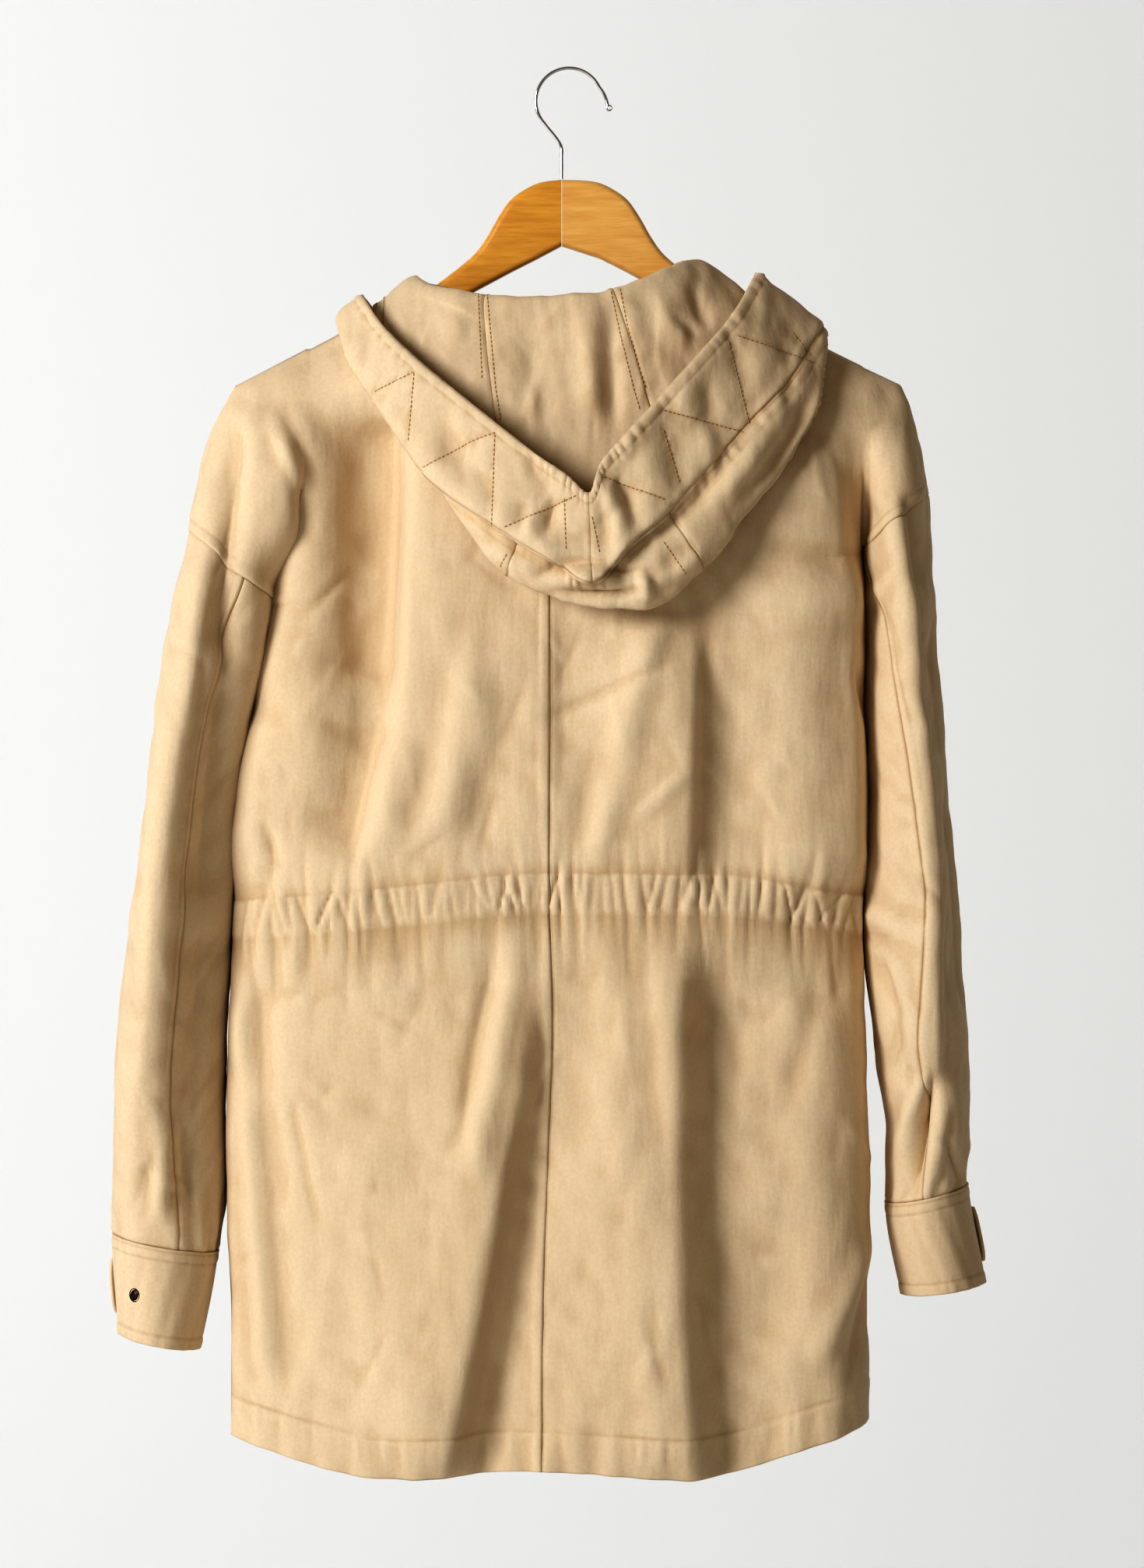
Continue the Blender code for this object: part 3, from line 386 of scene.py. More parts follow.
    def fold_height(self, x: Array, drop: Array, face: Face) -> Array:
        """Sum of the main folds at places on the torso.

        Args:
            x: places across.
            drop: their drops.
            face: back or front.

        Returns:
            How far the folds stand out there.
        """
        starts, ends = self.fold_ends
        total = np.zeros(np.broadcast(x, drop).shape)
        for fold in self.folds[face]:
            along = np.clip((drop - fold.top) / (fold.low - fold.top), 0.0, 1.0)
            crest = fold.x_top + (fold.x_low - fold.x_top) * along + fold.bow * np.sin(np.pi * along)
            off = x - crest
            width = np.where(off < 0, fold.left, fold.right)
            strength = ease(fold.top, fold.top + starts, drop) * (1 - ease(fold.low - ends, fold.low, drop))
            total = total + fold.height * strength * np.exp(-((off / width) ** 2))
        return total

    def torso(self, side: Side, share: Array, v: Array, face: Face) -> Array:
        """Points of the torso.

        Args:
            side: which half.
            share: from the centre (0) to the side (1).
            v: from the upper edge (0) over the armpit (1) and the casing (2 to 3) to the hem (4).
            face: back or front.

        Returns:
            The points, with x, y and z along the last axis.
        """
        share, v = np.broadcast_arrays(np.asarray(share, float), np.asarray(v, float))
        top_edge = self.edge_x(side)
        level_v = np.clip(v, self.v_armpit, self.v_hem)
        lines = np.array([smooth(self.across, level, side * share) for level in self.levels])
        side_lines = [level[0 if side == Side.LEFT else -1] for level in self.levels]
        side_low = np.interp(level_v, range(1, 5), side_lines)
        side_drop = np.where(v < 1, self.ridge_drop(top_edge, face) * (1 - v) + side_lines[0] * v, side_low)
        edge = self.girth(side.word, side_drop)
        index = np.clip(level_v.astype(int) - 1, 0, len(self.levels) - 2)
        part = level_v - 1 - index
        above, below = (np.take_along_axis(lines, index[None] + step, 0)[0] for step in (0, 1))
        low = above * (1 - part) + below * part
        guess = np.where(v < 1, self.guess_from + v * self.guess_run, low)
        centre = smooth(self.centre_drop, self.centre_x, guess)
        x = centre + (edge - centre) * share
        top = self.ridge_drop(x, face)
        drop = np.where(v < 1, top * (1 - v) + lines[0] * v, low)
        neck = self.neck[face]
        inside = np.clip(np.abs(x) / self.neck_half, 0.0, 1.0)
        neck_depth = neck.depth * (1 - inside ** 2) ** self.neck_bow
        full = self.girth(face.word, drop)
        depth = neck_depth + (full - neck_depth) * self.roll(drop - top)
        valley = column(self.arms[side], "valley", np.clip(v, 0, 1) * self.v_seam)
        valley = valley * self.roll(side_drop - self.ridge_drop(top_edge, face)) * (v <= 1)
        bulge = (1 - share ** self.side_roundness) ** (1 / self.side_roundness)
        flat = ease(0.0, self.fold_root, drop - top) * bulge
        depth = valley + (depth - valley) * bulge + self.fold_height(x, drop, face) * flat
        return np.stack([x, face * depth, -drop], axis=-1)

    def arm(self, side: Side, turn: Array, v: Array) -> Array:
        """Points of an arm.

        Args:
            side: which arm.
            turn: share of the way round it: outer 0, back 0.25, inner 0.5, front 0.75.
            v: place down it, in rows of its table.

        Returns:
            The points, with x, y and z along the last axis.
        """
        turn, v = np.broadcast_arrays(np.asarray(turn, float) % 1.0, np.asarray(v, float))
        rows = self.arms[side]
        read = {name: column(rows, name, v) for name in Arm._fields}
        half = np.where(turn <= 0.5, turn, 1 - turn) * 4
        crest_x = read["outer"] + (read["inner"] - read["outer"]) * read["crest"]
        depth = np.where(turn <= 0.5, read["back"], read["front"])
        valley = np.where(v <= self.v_seam, read["valley"], 0.0)
        outer_part = np.clip(half, 0, 1) * np.pi / 2
        inner_part = np.clip(half - 1, 0, 1) * np.pi / 2
        x = np.where(half <= 1, crest_x + (read["outer"] - crest_x) * np.cos(outer_part),
                     crest_x + (read["inner"] - crest_x) * np.sin(inner_part))
        y = np.where(half <= 1, depth * np.sin(outer_part), valley + (depth - valley) * np.cos(inner_part))
        slant = (x - read["outer"]) / (read["inner"] - read["outer"])
        drop = read["outer_drop"] + (read["inner_drop"] - read["outer_drop"]) * slant
        first = rows[0]
        slope = (first.outer_drop - first.inner_drop) / (first.outer - first.inner)
        y = y * self.roll(drop - first.inner_drop - (x - first.inner) * slope)
        return np.stack([x, np.where(turn <= 0.5, -y, y), -drop], axis=-1)

    def seam_turn(self, side: Side, v: Array) -> Array:
        """Where a sleeve's back seam lies, as a share of the turn."""
        return column(self.arms[side], "seam", v)

    def corner_share(self, side: Side) -> float:
        """Share at which the neckline meets the shoulder."""
        centre = float(smooth(self.centre_drop, self.centre_x, self.neck_drop))
        return (side * self.neck_half - centre) / (self.edge_x(side) - centre)


@dataclass(frozen=True)
class HoodForm:
    """Outer surface of the hood, in sections from the centre front round the back to the centre front."""

    body: BodyForm
    neck_clear: float = 0.8
    fold_fullness: float = 6.0
    brim_fullness: float = 3.0
    full_fold: float = 25.0
    beside_fold: Span = (0.14, 0.1)
    turns_over: tuple[Span, Span] = ((2.0, 6.0), (6.0, 8.5))
    flatter: float = 0.25
    flatter_from: Span = (3.0, 6.0)
    left_shoulder: int = 3
    centre_from: int = 7
    middle: int = 9
    centre_to: int = 11
    right_shoulder: int = 15
    end: int = 18
    sections: tuple[HoodSection, ...] = table(
        HoodSection,
        (-6, -10, 56, 228, -40, 70, 288, -35, 76, 278), (-66, -74, 46, 174, -126, 65, 234, -111, 74, 215),
        (-88, -94, 26, 150, -146, 36, 196, -124, 42, 172),
        (-100, -104, 0, 140, -157, -3, 173, -139, -9, 156),
        (-88, -94, -24, 150, -149, -32, 195, -126, -45, 177),
        (-74, -79, -36, 154, -125, -54, 238, -100, -66, 204),
        (-62, -68, -42, 156, -94, -69, 280, -67, -82, 232),
        (-50, -57, -46, 158, -41, -82, 347, -21, -98, 269),
        (-26, -29, -48, 159, -13, -86, 361, -1, -103, 283), (2, 2, -48, 158, 16, -87, 369, 13, -105, 295),
        (16, 16, -48, 157, 51, -86, 370, 20, -103, 276), (28, 29, -47, 153, 90, -82, 342, 35, -98, 258),
        (44, 47, -43, 147, 113, -75, 313, 61, -86, 229), (60, 62, -36, 140, 142, -62, 276, 88, -72, 198),
        (80, 76, -22, 133, 167, -46, 231, 109, -52, 172), (100, 88, -2, 130, 174, -4, 181, 126, -8, 141),
        (88, 84, 20, 142, 158, 38, 208, 120, 46, 162), (68, 74, 46, 172, 130, 66, 238, 104, 78, 200),
        (6, 10, 56, 228, 40, 70, 288, 35, 76, 278),
    )

    def neckline(self, face: Face, x: float) -> Array:
        """Point of the neckline at a place across.

        Args:
            face: back or front.
            x: place across.

        Returns:
            The point.
        """
        shares = np.linspace(0.0, 1.0, 60)
        left, right = (self.body.torso(side, shares, 0.0, face) for side in Side)
        line = np.vstack([left[::-1], right[1:]])
        return np.array([x, np.interp(x, line[:, 0], line[:, 1]), np.interp(x, line[:, 0], line[:, 2])])

    def section(self, s: float) -> tuple[Array, Array, float]:
        """One section, from the brim's edge to the neckline.

        Args:
            s: place round the hood, in rows of the table.

        Returns:
            Its points, the length so far at each, and the length at the fold.
        """
        read = {name: float(column(self.sections, name, s)) for name in HoodSection._fields}
        face = Face.BACK if self.left_shoulder <= s <= self.right_shoulder else Face.FRONT
        neck = self.neckline(face, read["neck"]) + np.array([0, 0, self.neck_clear])
        top, fold, edge = (np.array([read[f"{part}_x"], read[f"{part}_y"], -read[f"{part}_drop"]])
                           for part in ("roll", "fold", "edge"))
        away = abs(s - self.middle)
        over = np.pi / 2 * sum(ease(*span, away) for span in self.turns_over)
        full = 1 - self.flatter * ease(*self.flatter_from, away)
        outwards = np.array([0.0, -np.cos(over), np.sin(over)]) * full
        outwards = outwards * min(np.linalg.norm(edge - fold) / self.full_fold, 1.0)
        before, after = self.beside_fold
        path = [
            edge,
            (edge + fold) / 2 + outwards * self.brim_fullness,
            fold + (edge - fold) * before + outwards * self.fold_fullness,
            fold,
            fold + (top - fold) * after - outwards * self.fold_fullness,
            (top + fold) / 2 - outwards * self.brim_fullness,
            top,
            neck,
        ]
        points, length, knots = round_path(np.array(path))
        at_fold = 3
        return points, length, float(knots[at_fold])


# Cloth: nets of points, what lifts and sinks them, and the pieces sewn from them.


class ClothNet:
    """A net of points on cloth, rows down it and columns across it."""

    def __init__(self, u: Array, v: Array, points: Array, facing: Sequence[float]) -> None:
        """Lay the net.

        Args:
            u: each column's place across.
            v: each row's place down.
            points: rows by columns of points, in millimetres.
            facing: the point that lies furthest this way also faces it.
        """
        self.u, self.v, self.points = np.asarray(u, float), np.asarray(v, float), points
        self.wear_and_shade = np.zeros(points.shape[:2])
        self.kept = np.ones((len(self.v) - 1, len(self.u) - 1), bool)
        self.turned = 1.0
        way = np.asarray(facing, float)
        furthest = np.unravel_index(np.argmax(points @ way), points.shape[:2])
        if self.normals()[furthest] @ way < 0:
            self.turned = -1.0

    @property
    def x(self) -> Array:
        """Each point's place across the coat."""
        return self.points[..., 0]

    @property
    def drop(self) -> Array:
        """Each point's drop."""
        return -self.points[..., 2]

    def part(self, columns: slice = slice(None), rows: slice = slice(None)) -> "ClothNet":
        """Some of the columns and rows, as a net of their own.

        Args:
            columns: which columns.
            rows: which rows.

        Returns:
            The smaller net.
        """
        piece = copy.copy(self)
        piece.u, piece.v = self.u[columns], self.v[rows]
        piece.points, piece.wear_and_shade = self.points[rows, columns], self.wear_and_shade[rows, columns]
        piece.kept = self.kept[rows, columns][:len(piece.v) - 1, :len(piece.u) - 1]
        return piece

    def normals(self) -> Array:
        """The way out of the cloth at each point."""
        out = np.cross(np.gradient(self.points, axis=1), np.gradient(self.points, axis=0))
        return self.turned * out / np.maximum(np.linalg.norm(out, axis=-1, keepdims=True), 1e-9)

    def lift(self, height: Array, line: Array | float = 0.0) -> None:
        """Move every point out of the cloth by its height, and note where the cloth is rubbed paler and where
        shade is painted darker into it.

        Args:
            height: how far each point moves.
            line: how much shade is painted into a furrow at each point.
        """
        # Paler where the cloth stands above its surroundings, which is rubbed wear; darker where it lies
        # below them or in a furrow, which is painted shade.
        raised = np.clip((height - soften(height, WEAR_AND_SHADE_REACH)) / WEAR_AND_SHADE_HEIGHT, *WEAR_AND_SHADE_RANGE)
        self.wear_and_shade = self.wear_and_shade + raised - line
        self.points = self.points + self.normals() * height[..., None]

    def lengths(self) -> tuple[Array, Array]:
        """The net's own measure.

        Returns:
            How far each point lies along its row and down its column, in millimetres.
        """
        across = np.linalg.norm(np.diff(self.points, axis=1), axis=-1)
        down = np.linalg.norm(np.diff(self.points, axis=0), axis=-1)
        return (np.pad(np.cumsum(across, axis=1), ((0, 0), (1, 0))),
                np.pad(np.cumsum(down, axis=0), ((1, 0), (0, 0))))

    def at(self, u: Array, v: Array) -> tuple[Array, Array]:
        """Points between the net's own, and the way out there.

        Args:
            u: places across.
            v: places down.

        Returns:
            The points and their normals.
        """
        col = np.interp(u, self.u, np.arange(len(self.u)))
        row = np.interp(v, self.v, np.arange(len(self.v)))
        i = np.clip(col.astype(int), 0, len(self.u) - 2)
        j = np.clip(row.astype(int), 0, len(self.v) - 2)
        a, b = (col - i)[:, None], (row - j)[:, None]

        def blend(grid: Array) -> Array:
            """Mix the four values round each place."""
            upper, lower = (grid[k, i] * (1 - a) + grid[k, i + 1] * a for k in (j, j + 1))
            return upper * (1 - b) + lower * b

        out = blend(self.normals())
        return blend(self.points), out / np.linalg.norm(out, axis=1)[:, None]

    def mesh(self, name: str) -> Mesh:
        """The net as a mesh, with the cloth's own measure as its UV map.

        Args:
            name: the mesh's name.

        Returns:
            The mesh, its faces pointing out of the cloth.
        """
        rows, columns = self.points.shape[:2]
        bm = bmesh.new()
        bmesh.ops.create_grid(bm, x_segments=columns - 1, y_segments=rows - 1, size=0.5)
        if not self.kept.all():
            spare = []
            for face in bm.faces:
                middle = face.calc_center_median()
                row, place = int((middle.y + 0.5) * (rows - 1)), int((middle.x + 0.5) * (columns - 1))
                if not self.kept[row, place]:
                    spare.append(face)
            bmesh.ops.delete(bm, geom=spare, context="FACES")
        mesh = from_bmesh(bm, name)
        flat = np.empty(len(mesh.vertices) * 3)
        mesh.vertices.foreach_get("co", flat)
        place = flat.reshape(-1, 3)[:, :2] + 0.5
        i = np.rint(place[:, 0] * (columns - 1)).astype(int)
        j = np.rint(place[:, 1] * (rows - 1)).astype(int)
        mesh.vertices.foreach_set("co", (self.points[j, i] * MM).ravel())
        corner = np.empty(len(mesh.loops), int)
        mesh.loops.foreach_get("vertex_index", corner)
        across, down = self.lengths()
        uv = np.stack([across[j, i], down[j, i]], axis=1)[corner] * MM
        mesh.uv_layers.new(name="cloth").data.foreach_set("uv", uv.ravel())
        # This attribute carries rubbed wear (above 0) and painted shade in hollows and furrows (below 0).
        mesh.attributes.new("wear_and_shade", "FLOAT", "POINT").data.foreach_set("value", self.wear_and_shade[j, i])
        if self.turned > 0:
            mesh.flip_normals()
        return mesh


def from_bmesh(bm: bmesh.types.BMesh, name: str) -> Mesh:
    """Turn a bmesh into a smoothly shaded mesh, and free it.

    Args:
        bm: the bmesh.
        name: the mesh's name.

    Returns:
        The mesh.
    """
    mesh = bpy.data.meshes.new(name)
    bm.to_mesh(mesh)
    bm.free()
    mesh.shade_smooth()
    return mesh


def soften(values: Array, reach: int) -> Array:
    """Each value's mean over its surroundings.

    Args:
        values: rows by columns of values.
        reach: how many rows and columns are taken in on each side.

    Returns:
        The means.
    """
    for _ in range(2):
        for axis in (0, 1):
            rows = np.swapaxes(values, 0, axis)
            total = np.cumsum(np.pad(rows, ((reach + 1, reach), (0, 0)), mode="edge"), axis=0)
            values = np.swapaxes((total[2 * reach + 1:] - total[:-2 * reach - 1]) / (2 * reach + 1), 0, axis)
    return values


def crease_height(rows: Iterable[Crease], x: Array, drop: Array) -> Array:
    """Sum of the fine creases at places on the cloth.

    Args:
        rows: the creases.
        x: places across.
        drop: their drops.

    Returns:
        How far the creases stand out there.
    """
    total = np.zeros(np.broadcast(x, drop).shape)
    for row in rows:
        run_x, run_drop = row.x_to - row.x, row.drop_to - row.drop
        length = float(np.hypot(run_x, run_drop))
        off_x, off_drop = x - row.x, drop - row.drop
        along = (off_x * run_x + off_drop * run_drop) / length ** 2
        inside = np.clip(along, 0.0, 1.0)
        across = (off_x * run_drop - off_drop * run_x) / length - row.bow * 4 * inside * (1 - inside)
        width = np.where(across < 0, row.before, row.after)
        reach = float(np.clip(CREASE_TAPER / length, *TAPER_RANGE))
        taper = ease(-reach / 2, reach, along) * (1 - ease(1 - reach, 1 + reach / 2, along))
        total += row.height * taper * np.exp(-((across / width) ** 2))
    return total


def stray_creases(seed: int, count: int, x: Span, drop: Span) -> list[Crease]:
    """Short uneven creases of worn cloth, mostly upright.

    Args:
        seed: which creases.
        count: how many.
        x: the range across in which they start.
        drop: the range of drops in which they start.

    Returns:
        The creases.
    """
    draw = np.random.default_rng(seed)
    rows = []
    for _ in range(count):
        at, top = draw.uniform(*x), draw.uniform(*drop)
        length, way = draw.uniform(14, 52), draw.normal(0, 0.5)
        before, after = draw.uniform(2.2, 5.5, 2)
        bow, height = draw.uniform(-2.5, 2.5), draw.choice((-1, 1)) * draw.uniform(0.4, 1.1)
        rows.append(Crease(at, top, at + length * np.sin(way), top + length * np.cos(way),
                           bow, before, after, height))
    return rows


def crumple(x: Array, drop: Array, seed: int, size: float, height: float) -> Array:
    """Soft unevenness of worn cloth, as a sum of waves that bend each other.

    Args:
        x: places across.
        drop: their drops.
        seed: which unevenness.
        size: a usual length of a wave.
        height: how high it stands.

    Returns:
        The height at each place.
    """
    waves = 14
    draw = np.random.default_rng(seed)
    total = np.zeros(np.broadcast(x, drop).shape)
    bend = (np.sin(x / size * 1.1 + draw.uniform(*ANY_PHASE))
            + np.sin(drop / size * 0.8 + draw.uniform(*ANY_PHASE)))
    for _ in range(waves):
        way, length = draw.uniform(0, np.pi), size * draw.uniform(0.6, 1.8)
        phase = (x * np.cos(way) + 0.75 * drop * np.sin(way)) * 2 * np.pi / length
        total += np.sin(phase + bend * draw.uniform(0.3, 1.0) + draw.uniform(*ANY_PHASE)) * length / size
    return total * height / np.sqrt(waves)


def pucker(along: Array, away: Array, pitch: float, width: float, height: float, seed: int) -> Array:
    """Small bulges that a row of stitches draws up beside it.

    Args:
        along: places along the stitches.
        away: how far from them.
        pitch: from one bulge to the next.
        width: how far out they reach.
        height: how high they stand.
        seed: which bulges.

    Returns:
        The height at each place.
    """
    draw = np.random.default_rng(seed)
    phase = along * 2 * np.pi / pitch
    for scale in (0.37, 0.19, 0.083):
        phase = phase + 1.1 * np.sin(along * scale + draw.uniform(*ANY_PHASE))
    strength = 0.6 + 0.4 * np.sin(along * 0.071 + draw.uniform(*ANY_PHASE))
    return height * strength * np.sin(phase) * np.exp(-((away / width) ** 2))


def groove(away: Array, width: float, depth: float) -> Array:
    """A soft furrow along a line."""
    return -depth * np.exp(-((away / width) ** 2))


def flap(away: Array, width: float, softness: float) -> Array:
    """1 on a turned edge, 0 past its width, and a soft step between."""
    return 1 - ease(width - softness, width + softness, away)


def polyline_distance(points: Sequence[Span], x: Array, drop: Array) -> Array:
    """How far each place lies from a line drawn on the cloth.

    Args:
        points: the line's corners, as place across and drop.
        x: places across.
        drop: their drops.

    Returns:
        The distance of each.
    """
    nearest = np.full(np.broadcast(x, drop).shape, np.inf)
    for (x0, d0), (x1, d1) in zip(points, points[1:]):
        square = max((x1 - x0) ** 2 + (d1 - d0) ** 2, 1e-9)
        t = np.clip(((x - x0) * (x1 - x0) + (drop - d0) * (d1 - d0)) / square, 0.0, 1.0)
        nearest = np.minimum(nearest, np.hypot(x - x0 - t * (x1 - x0), drop - d0 - t * (d1 - d0)))
    return nearest


class Cut(NamedTuple):
    """The flat size that a piece is cut to, in metres and square metres."""

    width_m: float
    length_m: float
    area_m2: float


def add_piece(name: str, mesh: Mesh, finish: Material, nodes: Sequence[str] = ()) -> Piece:
    """Put a finished mesh into the scene.

    Args:
        name: the piece's name.
        mesh: its mesh, in place.
        finish: its material.
        nodes: the solids that it stands for.

    Returns:
        The piece.
    """
    mesh.materials.clear()
    mesh.materials.append(finish)
    piece = bpy.data.objects.new(name, mesh)
    bpy.context.scene.collection.objects.link(piece)
    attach(piece, "root")
    if nodes:
        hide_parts(*nodes)
    log.info("%s: %d faces", name, len(mesh.polygons))
    return piece


def sew_piece(node: str, nets: Sequence[ClothNet], finish: Material,
              wall: float = CLOTH_WALL) -> Piece:
    """One piece of cloth from its nets.

    Args:
        node: the solid that it stands for.
        nets: its nets, which meet edge to edge.
        finish: its material.
        wall: how thick the cloth is.

    Returns:
        The piece.
    """
    bm = bmesh.new()
    for net in nets:
        part = net.mesh(node)
        bm.from_mesh(part)
        bpy.data.meshes.remove(part)
    bmesh.ops.remove_doubles(bm, verts=bm.verts, dist=WELD * MM)
    bmesh.ops.dissolve_degenerate(bm, edges=bm.edges, dist=WELD * MM / 2)
    mesh = from_bmesh(bm, f"{node}_cloth")
    piece = add_piece(f"{node}_cloth", mesh, finish, [node])
    thick = piece.modifiers.new("wall", "SOLIDIFY")
    thick.thickness = wall * MM
    thick.offset = -1.0
    thick.use_rim = True
    thick.use_quality_normals = True
    return piece


def evaluated(piece: Piece) -> Mesh:
    """The piece's mesh as its modifiers leave it."""
    return piece.evaluated_get(bpy.context.evaluated_depsgraph_get()).to_mesh()


# Finishes.


class NodeBench:
    """A material in the making: its shader, and nodes added to it one by one."""

    def __init__(self, name: str) -> None:
        """Start a material with a bare shader.

        Args:
            name: the material's name.
        """
        self.material = bpy.data.materials.new(name)
        self.material.use_nodes = True
        self.tree = self.material.node_tree
        self.shader = self.tree.nodes["Principled BSDF"]
        self.place = self.add("ShaderNodeTexCoord")

    def add(self, kind: str, inputs: dict[str, object] | None = None, **settings: object) -> Node:
        """Add a node.

        Args:
            kind: Blender's name for it.
            inputs: what goes into its sockets, a value or another node's socket.
            **settings: its own settings.

        Returns:
            The node.
        """
        node = self.tree.nodes.new(kind)
        for name, value in settings.items():
            setattr(node, name, value)
        return self.fill(node, inputs or {})

    def fill(self, node: Node, inputs: dict[object, object]) -> Node:
        """Set a node's sockets, or link other nodes' sockets to them.

        Args:
            node: the node.
            inputs: a number, a colour or another node's socket for each of its sockets.

        Returns:
            The node.
        """
        for name, value in inputs.items():
            if isinstance(value, Socket):
                self.tree.links.new(value, node.inputs[name])
            else:
                node.inputs[name].default_value = value
        return node

    def dress(self, inputs: dict[object, object]) -> Material:
        """Fill the shader's own sockets, which finishes the material."""
        self.fill(self.shader, inputs)
        return self.material

    def mapped(self, source: str, turn: Triple, scale: Triple = (1.0, 1.0, 1.0)) -> Socket:
        """The named coordinates, turned and stretched."""
        inputs = {"Vector": self.place.outputs[source], "Rotation": turn, "Scale": scale}
        return self.add("ShaderNodeMapping", inputs).outputs["Vector"]

    def noise(self, scale: float, detail: float = 3.0, source: Socket | None = None) -> Socket:
        """A noise that reads the object's own coordinates, or the given ones."""
        inputs = {"Vector": source or self.place.outputs["Object"], "Scale": scale, "Detail": detail}
        return self.add("ShaderNodeTexNoise", inputs).outputs["Fac"]

    def mix(self, share: object, first: object, second: object, how: str = "MIX") -> Socket:
        """Mix two colours, each a colour or another node's socket.

        Args:
            share: how much of the second.
            first: the first colour.
            second: the second colour.
            how: the kind of mix.

        Returns:
            The mixed colour.
        """
        node = self.add("ShaderNodeMix", data_type="RGBA", blend_type=how)
        colours = [(*tone, 1) if isinstance(tone, tuple) else tone for tone in (first, second)]
        return self.fill(node, dict(zip((0, 6, 7), (share, *colours)))).outputs[2]

    def spread(self, value: Socket, low: float, high: float, to_low: float = 0.0,
               to_high: float = 1.0) -> Socket:
        """Stretch a value from the range low to high into the range to_low to to_high."""
        inputs = {"Value": value, "From Min": low, "From Max": high, "To Min": to_low, "To Max": to_high}
        return self.add("ShaderNodeMapRange", inputs).outputs["Result"]

    def bump(self, height: Socket, strength: float, distance_m: float,
             under: Socket | None = None) -> Socket:
        """A bump from a height.

        Args:
            height: the height.
            strength: how much of it is used.
            distance_m: how high its range is.
            under: a bump that lies under this one.

        Returns:
            The bent normal.
        """
        inputs: dict[str, object] = {"Height": height, "Strength": strength, "Distance": distance_m}
        if under is not None:
            inputs["Normal"] = under
        return self.add("ShaderNodeBump", inputs).outputs["Normal"]


@dataclass(frozen=True)
class TwillFinish:
    """Washed cotton twill: fine slanted ribs, a soft mottle, paler where it is raised and rubbed, and painted
    shade that darkens its hollows and furrows.
    """

    name: str = "khaki_twill"
    light: Colour = (0.755, 0.62, 0.45)
    deep: Colour = (0.62, 0.46, 0.285)
    # Painted shade: the dark brown laid into the cloth's hollows and furrows.
    painted_groove_shade: Colour = (0.40, 0.235, 0.09)
    rubbed: Colour = (0.80, 0.69, 0.51)
    roughness: float = 0.88
    sheen: float = 0.12
    mottle_scale: float = 9.0
    yarn_scale: float = 420.0
    rub_scale: float = 700.0
    rib_scale: float = 620.0
    rib_turn: float = 1.1
    rib_height_m: float = 0.00012
    wrinkles: tuple[Triple, ...] = ((48.0, 0.4, 0.0022), (170.0, 0.5, 0.0009))

    def material(self) -> Material:
        """Mix the tones, and lay wrinkles and ribs as bumps.

        Returns:
            The material.
        """
        bench = NodeBench(self.name)
        fine = bench.noise(self.yarn_scale, 4.0)
        # Above 0 this is rubbed wear; below 0 it is painted shade.
        wear_and_shade = bench.add("ShaderNodeAttribute", attribute_name="wear_and_shade").outputs["Fac"]
        mottle = bench.spread(bench.noise(self.mottle_scale, 2.0), 0.3, 0.7, 0.0, 0.22)
        tone = bench.mix(mottle, self.light, self.deep)
        tone = bench.mix(bench.spread(fine, 0.35, 0.65, 0.0, 0.3), tone, self.deep)
        broken = bench.spread(bench.noise(self.rub_scale), 0.3, 0.7, 0.45, 1.0)
        rub = bench.add("ShaderNodeMath", {0: bench.spread(wear_and_shade, 0.0, 1.0), 1: broken}, operation="MULTIPLY")
        tone = bench.mix(rub.outputs[0], tone, self.rubbed)
        # Painted shade: the hollows and stitched furrows turn darker brown.
        tone = bench.mix(bench.spread(wear_and_shade, 0.0, -1.0), tone, self.painted_groove_shade)
        ribs = bench.add("ShaderNodeTexWave", {
            "Vector": bench.mapped("UV", (0.0, 0.0, self.rib_turn)), "Scale": self.rib_scale,
            "Distortion": 1.2, "Detail": 2.0, "Detail Scale": 3.0,
        })
        streaks = bench.mapped("Object", (0.0, 0.0, 0.0), (1.0, 1.0, 0.3))
        soft = None
        for detail, (scale, strength, height_m) in enumerate(self.wrinkles, start=3):
            soft = bench.bump(bench.noise(scale, detail, streaks), strength, height_m, soft)
        return bench.dress({
            "Normal": bench.bump(ribs.outputs["Fac"], 0.3, self.rib_height_m, soft),
            "Base Color": tone,
            "Roughness": bench.spread(fine, 0.3, 0.7, self.roughness - 0.06, self.roughness + 0.04),
            "Sheen Weight": self.sheen, "Sheen Roughness": 0.5, "Specular IOR Level": 0.25,
        })


@dataclass(frozen=True)
class ThreadFinish:
    """Spun sewing thread: a twist of fine ribs along each stitch."""

    name: str = "sewing_thread"
    light: Colour = (0.60, 0.40, 0.19)
    deep: Colour = (0.36, 0.22, 0.09)
    twist_scale: float = 1500.0

    def material(self) -> Material:
        """Let one noise change the tone, the height and the shine.

        Returns:
            The material.
        """
        bench = NodeBench(self.name)
        twist = bench.noise(self.twist_scale, 2.0)
        return bench.dress({
            "Base Color": bench.mix(bench.spread(twist, 0.35, 0.65), self.light, self.deep),
            "Normal": bench.bump(twist, 0.4, 0.0001),
            "Roughness": bench.spread(twist, 0.3, 0.7, 0.65, 0.8),
            "Sheen Weight": 0.1,
        })


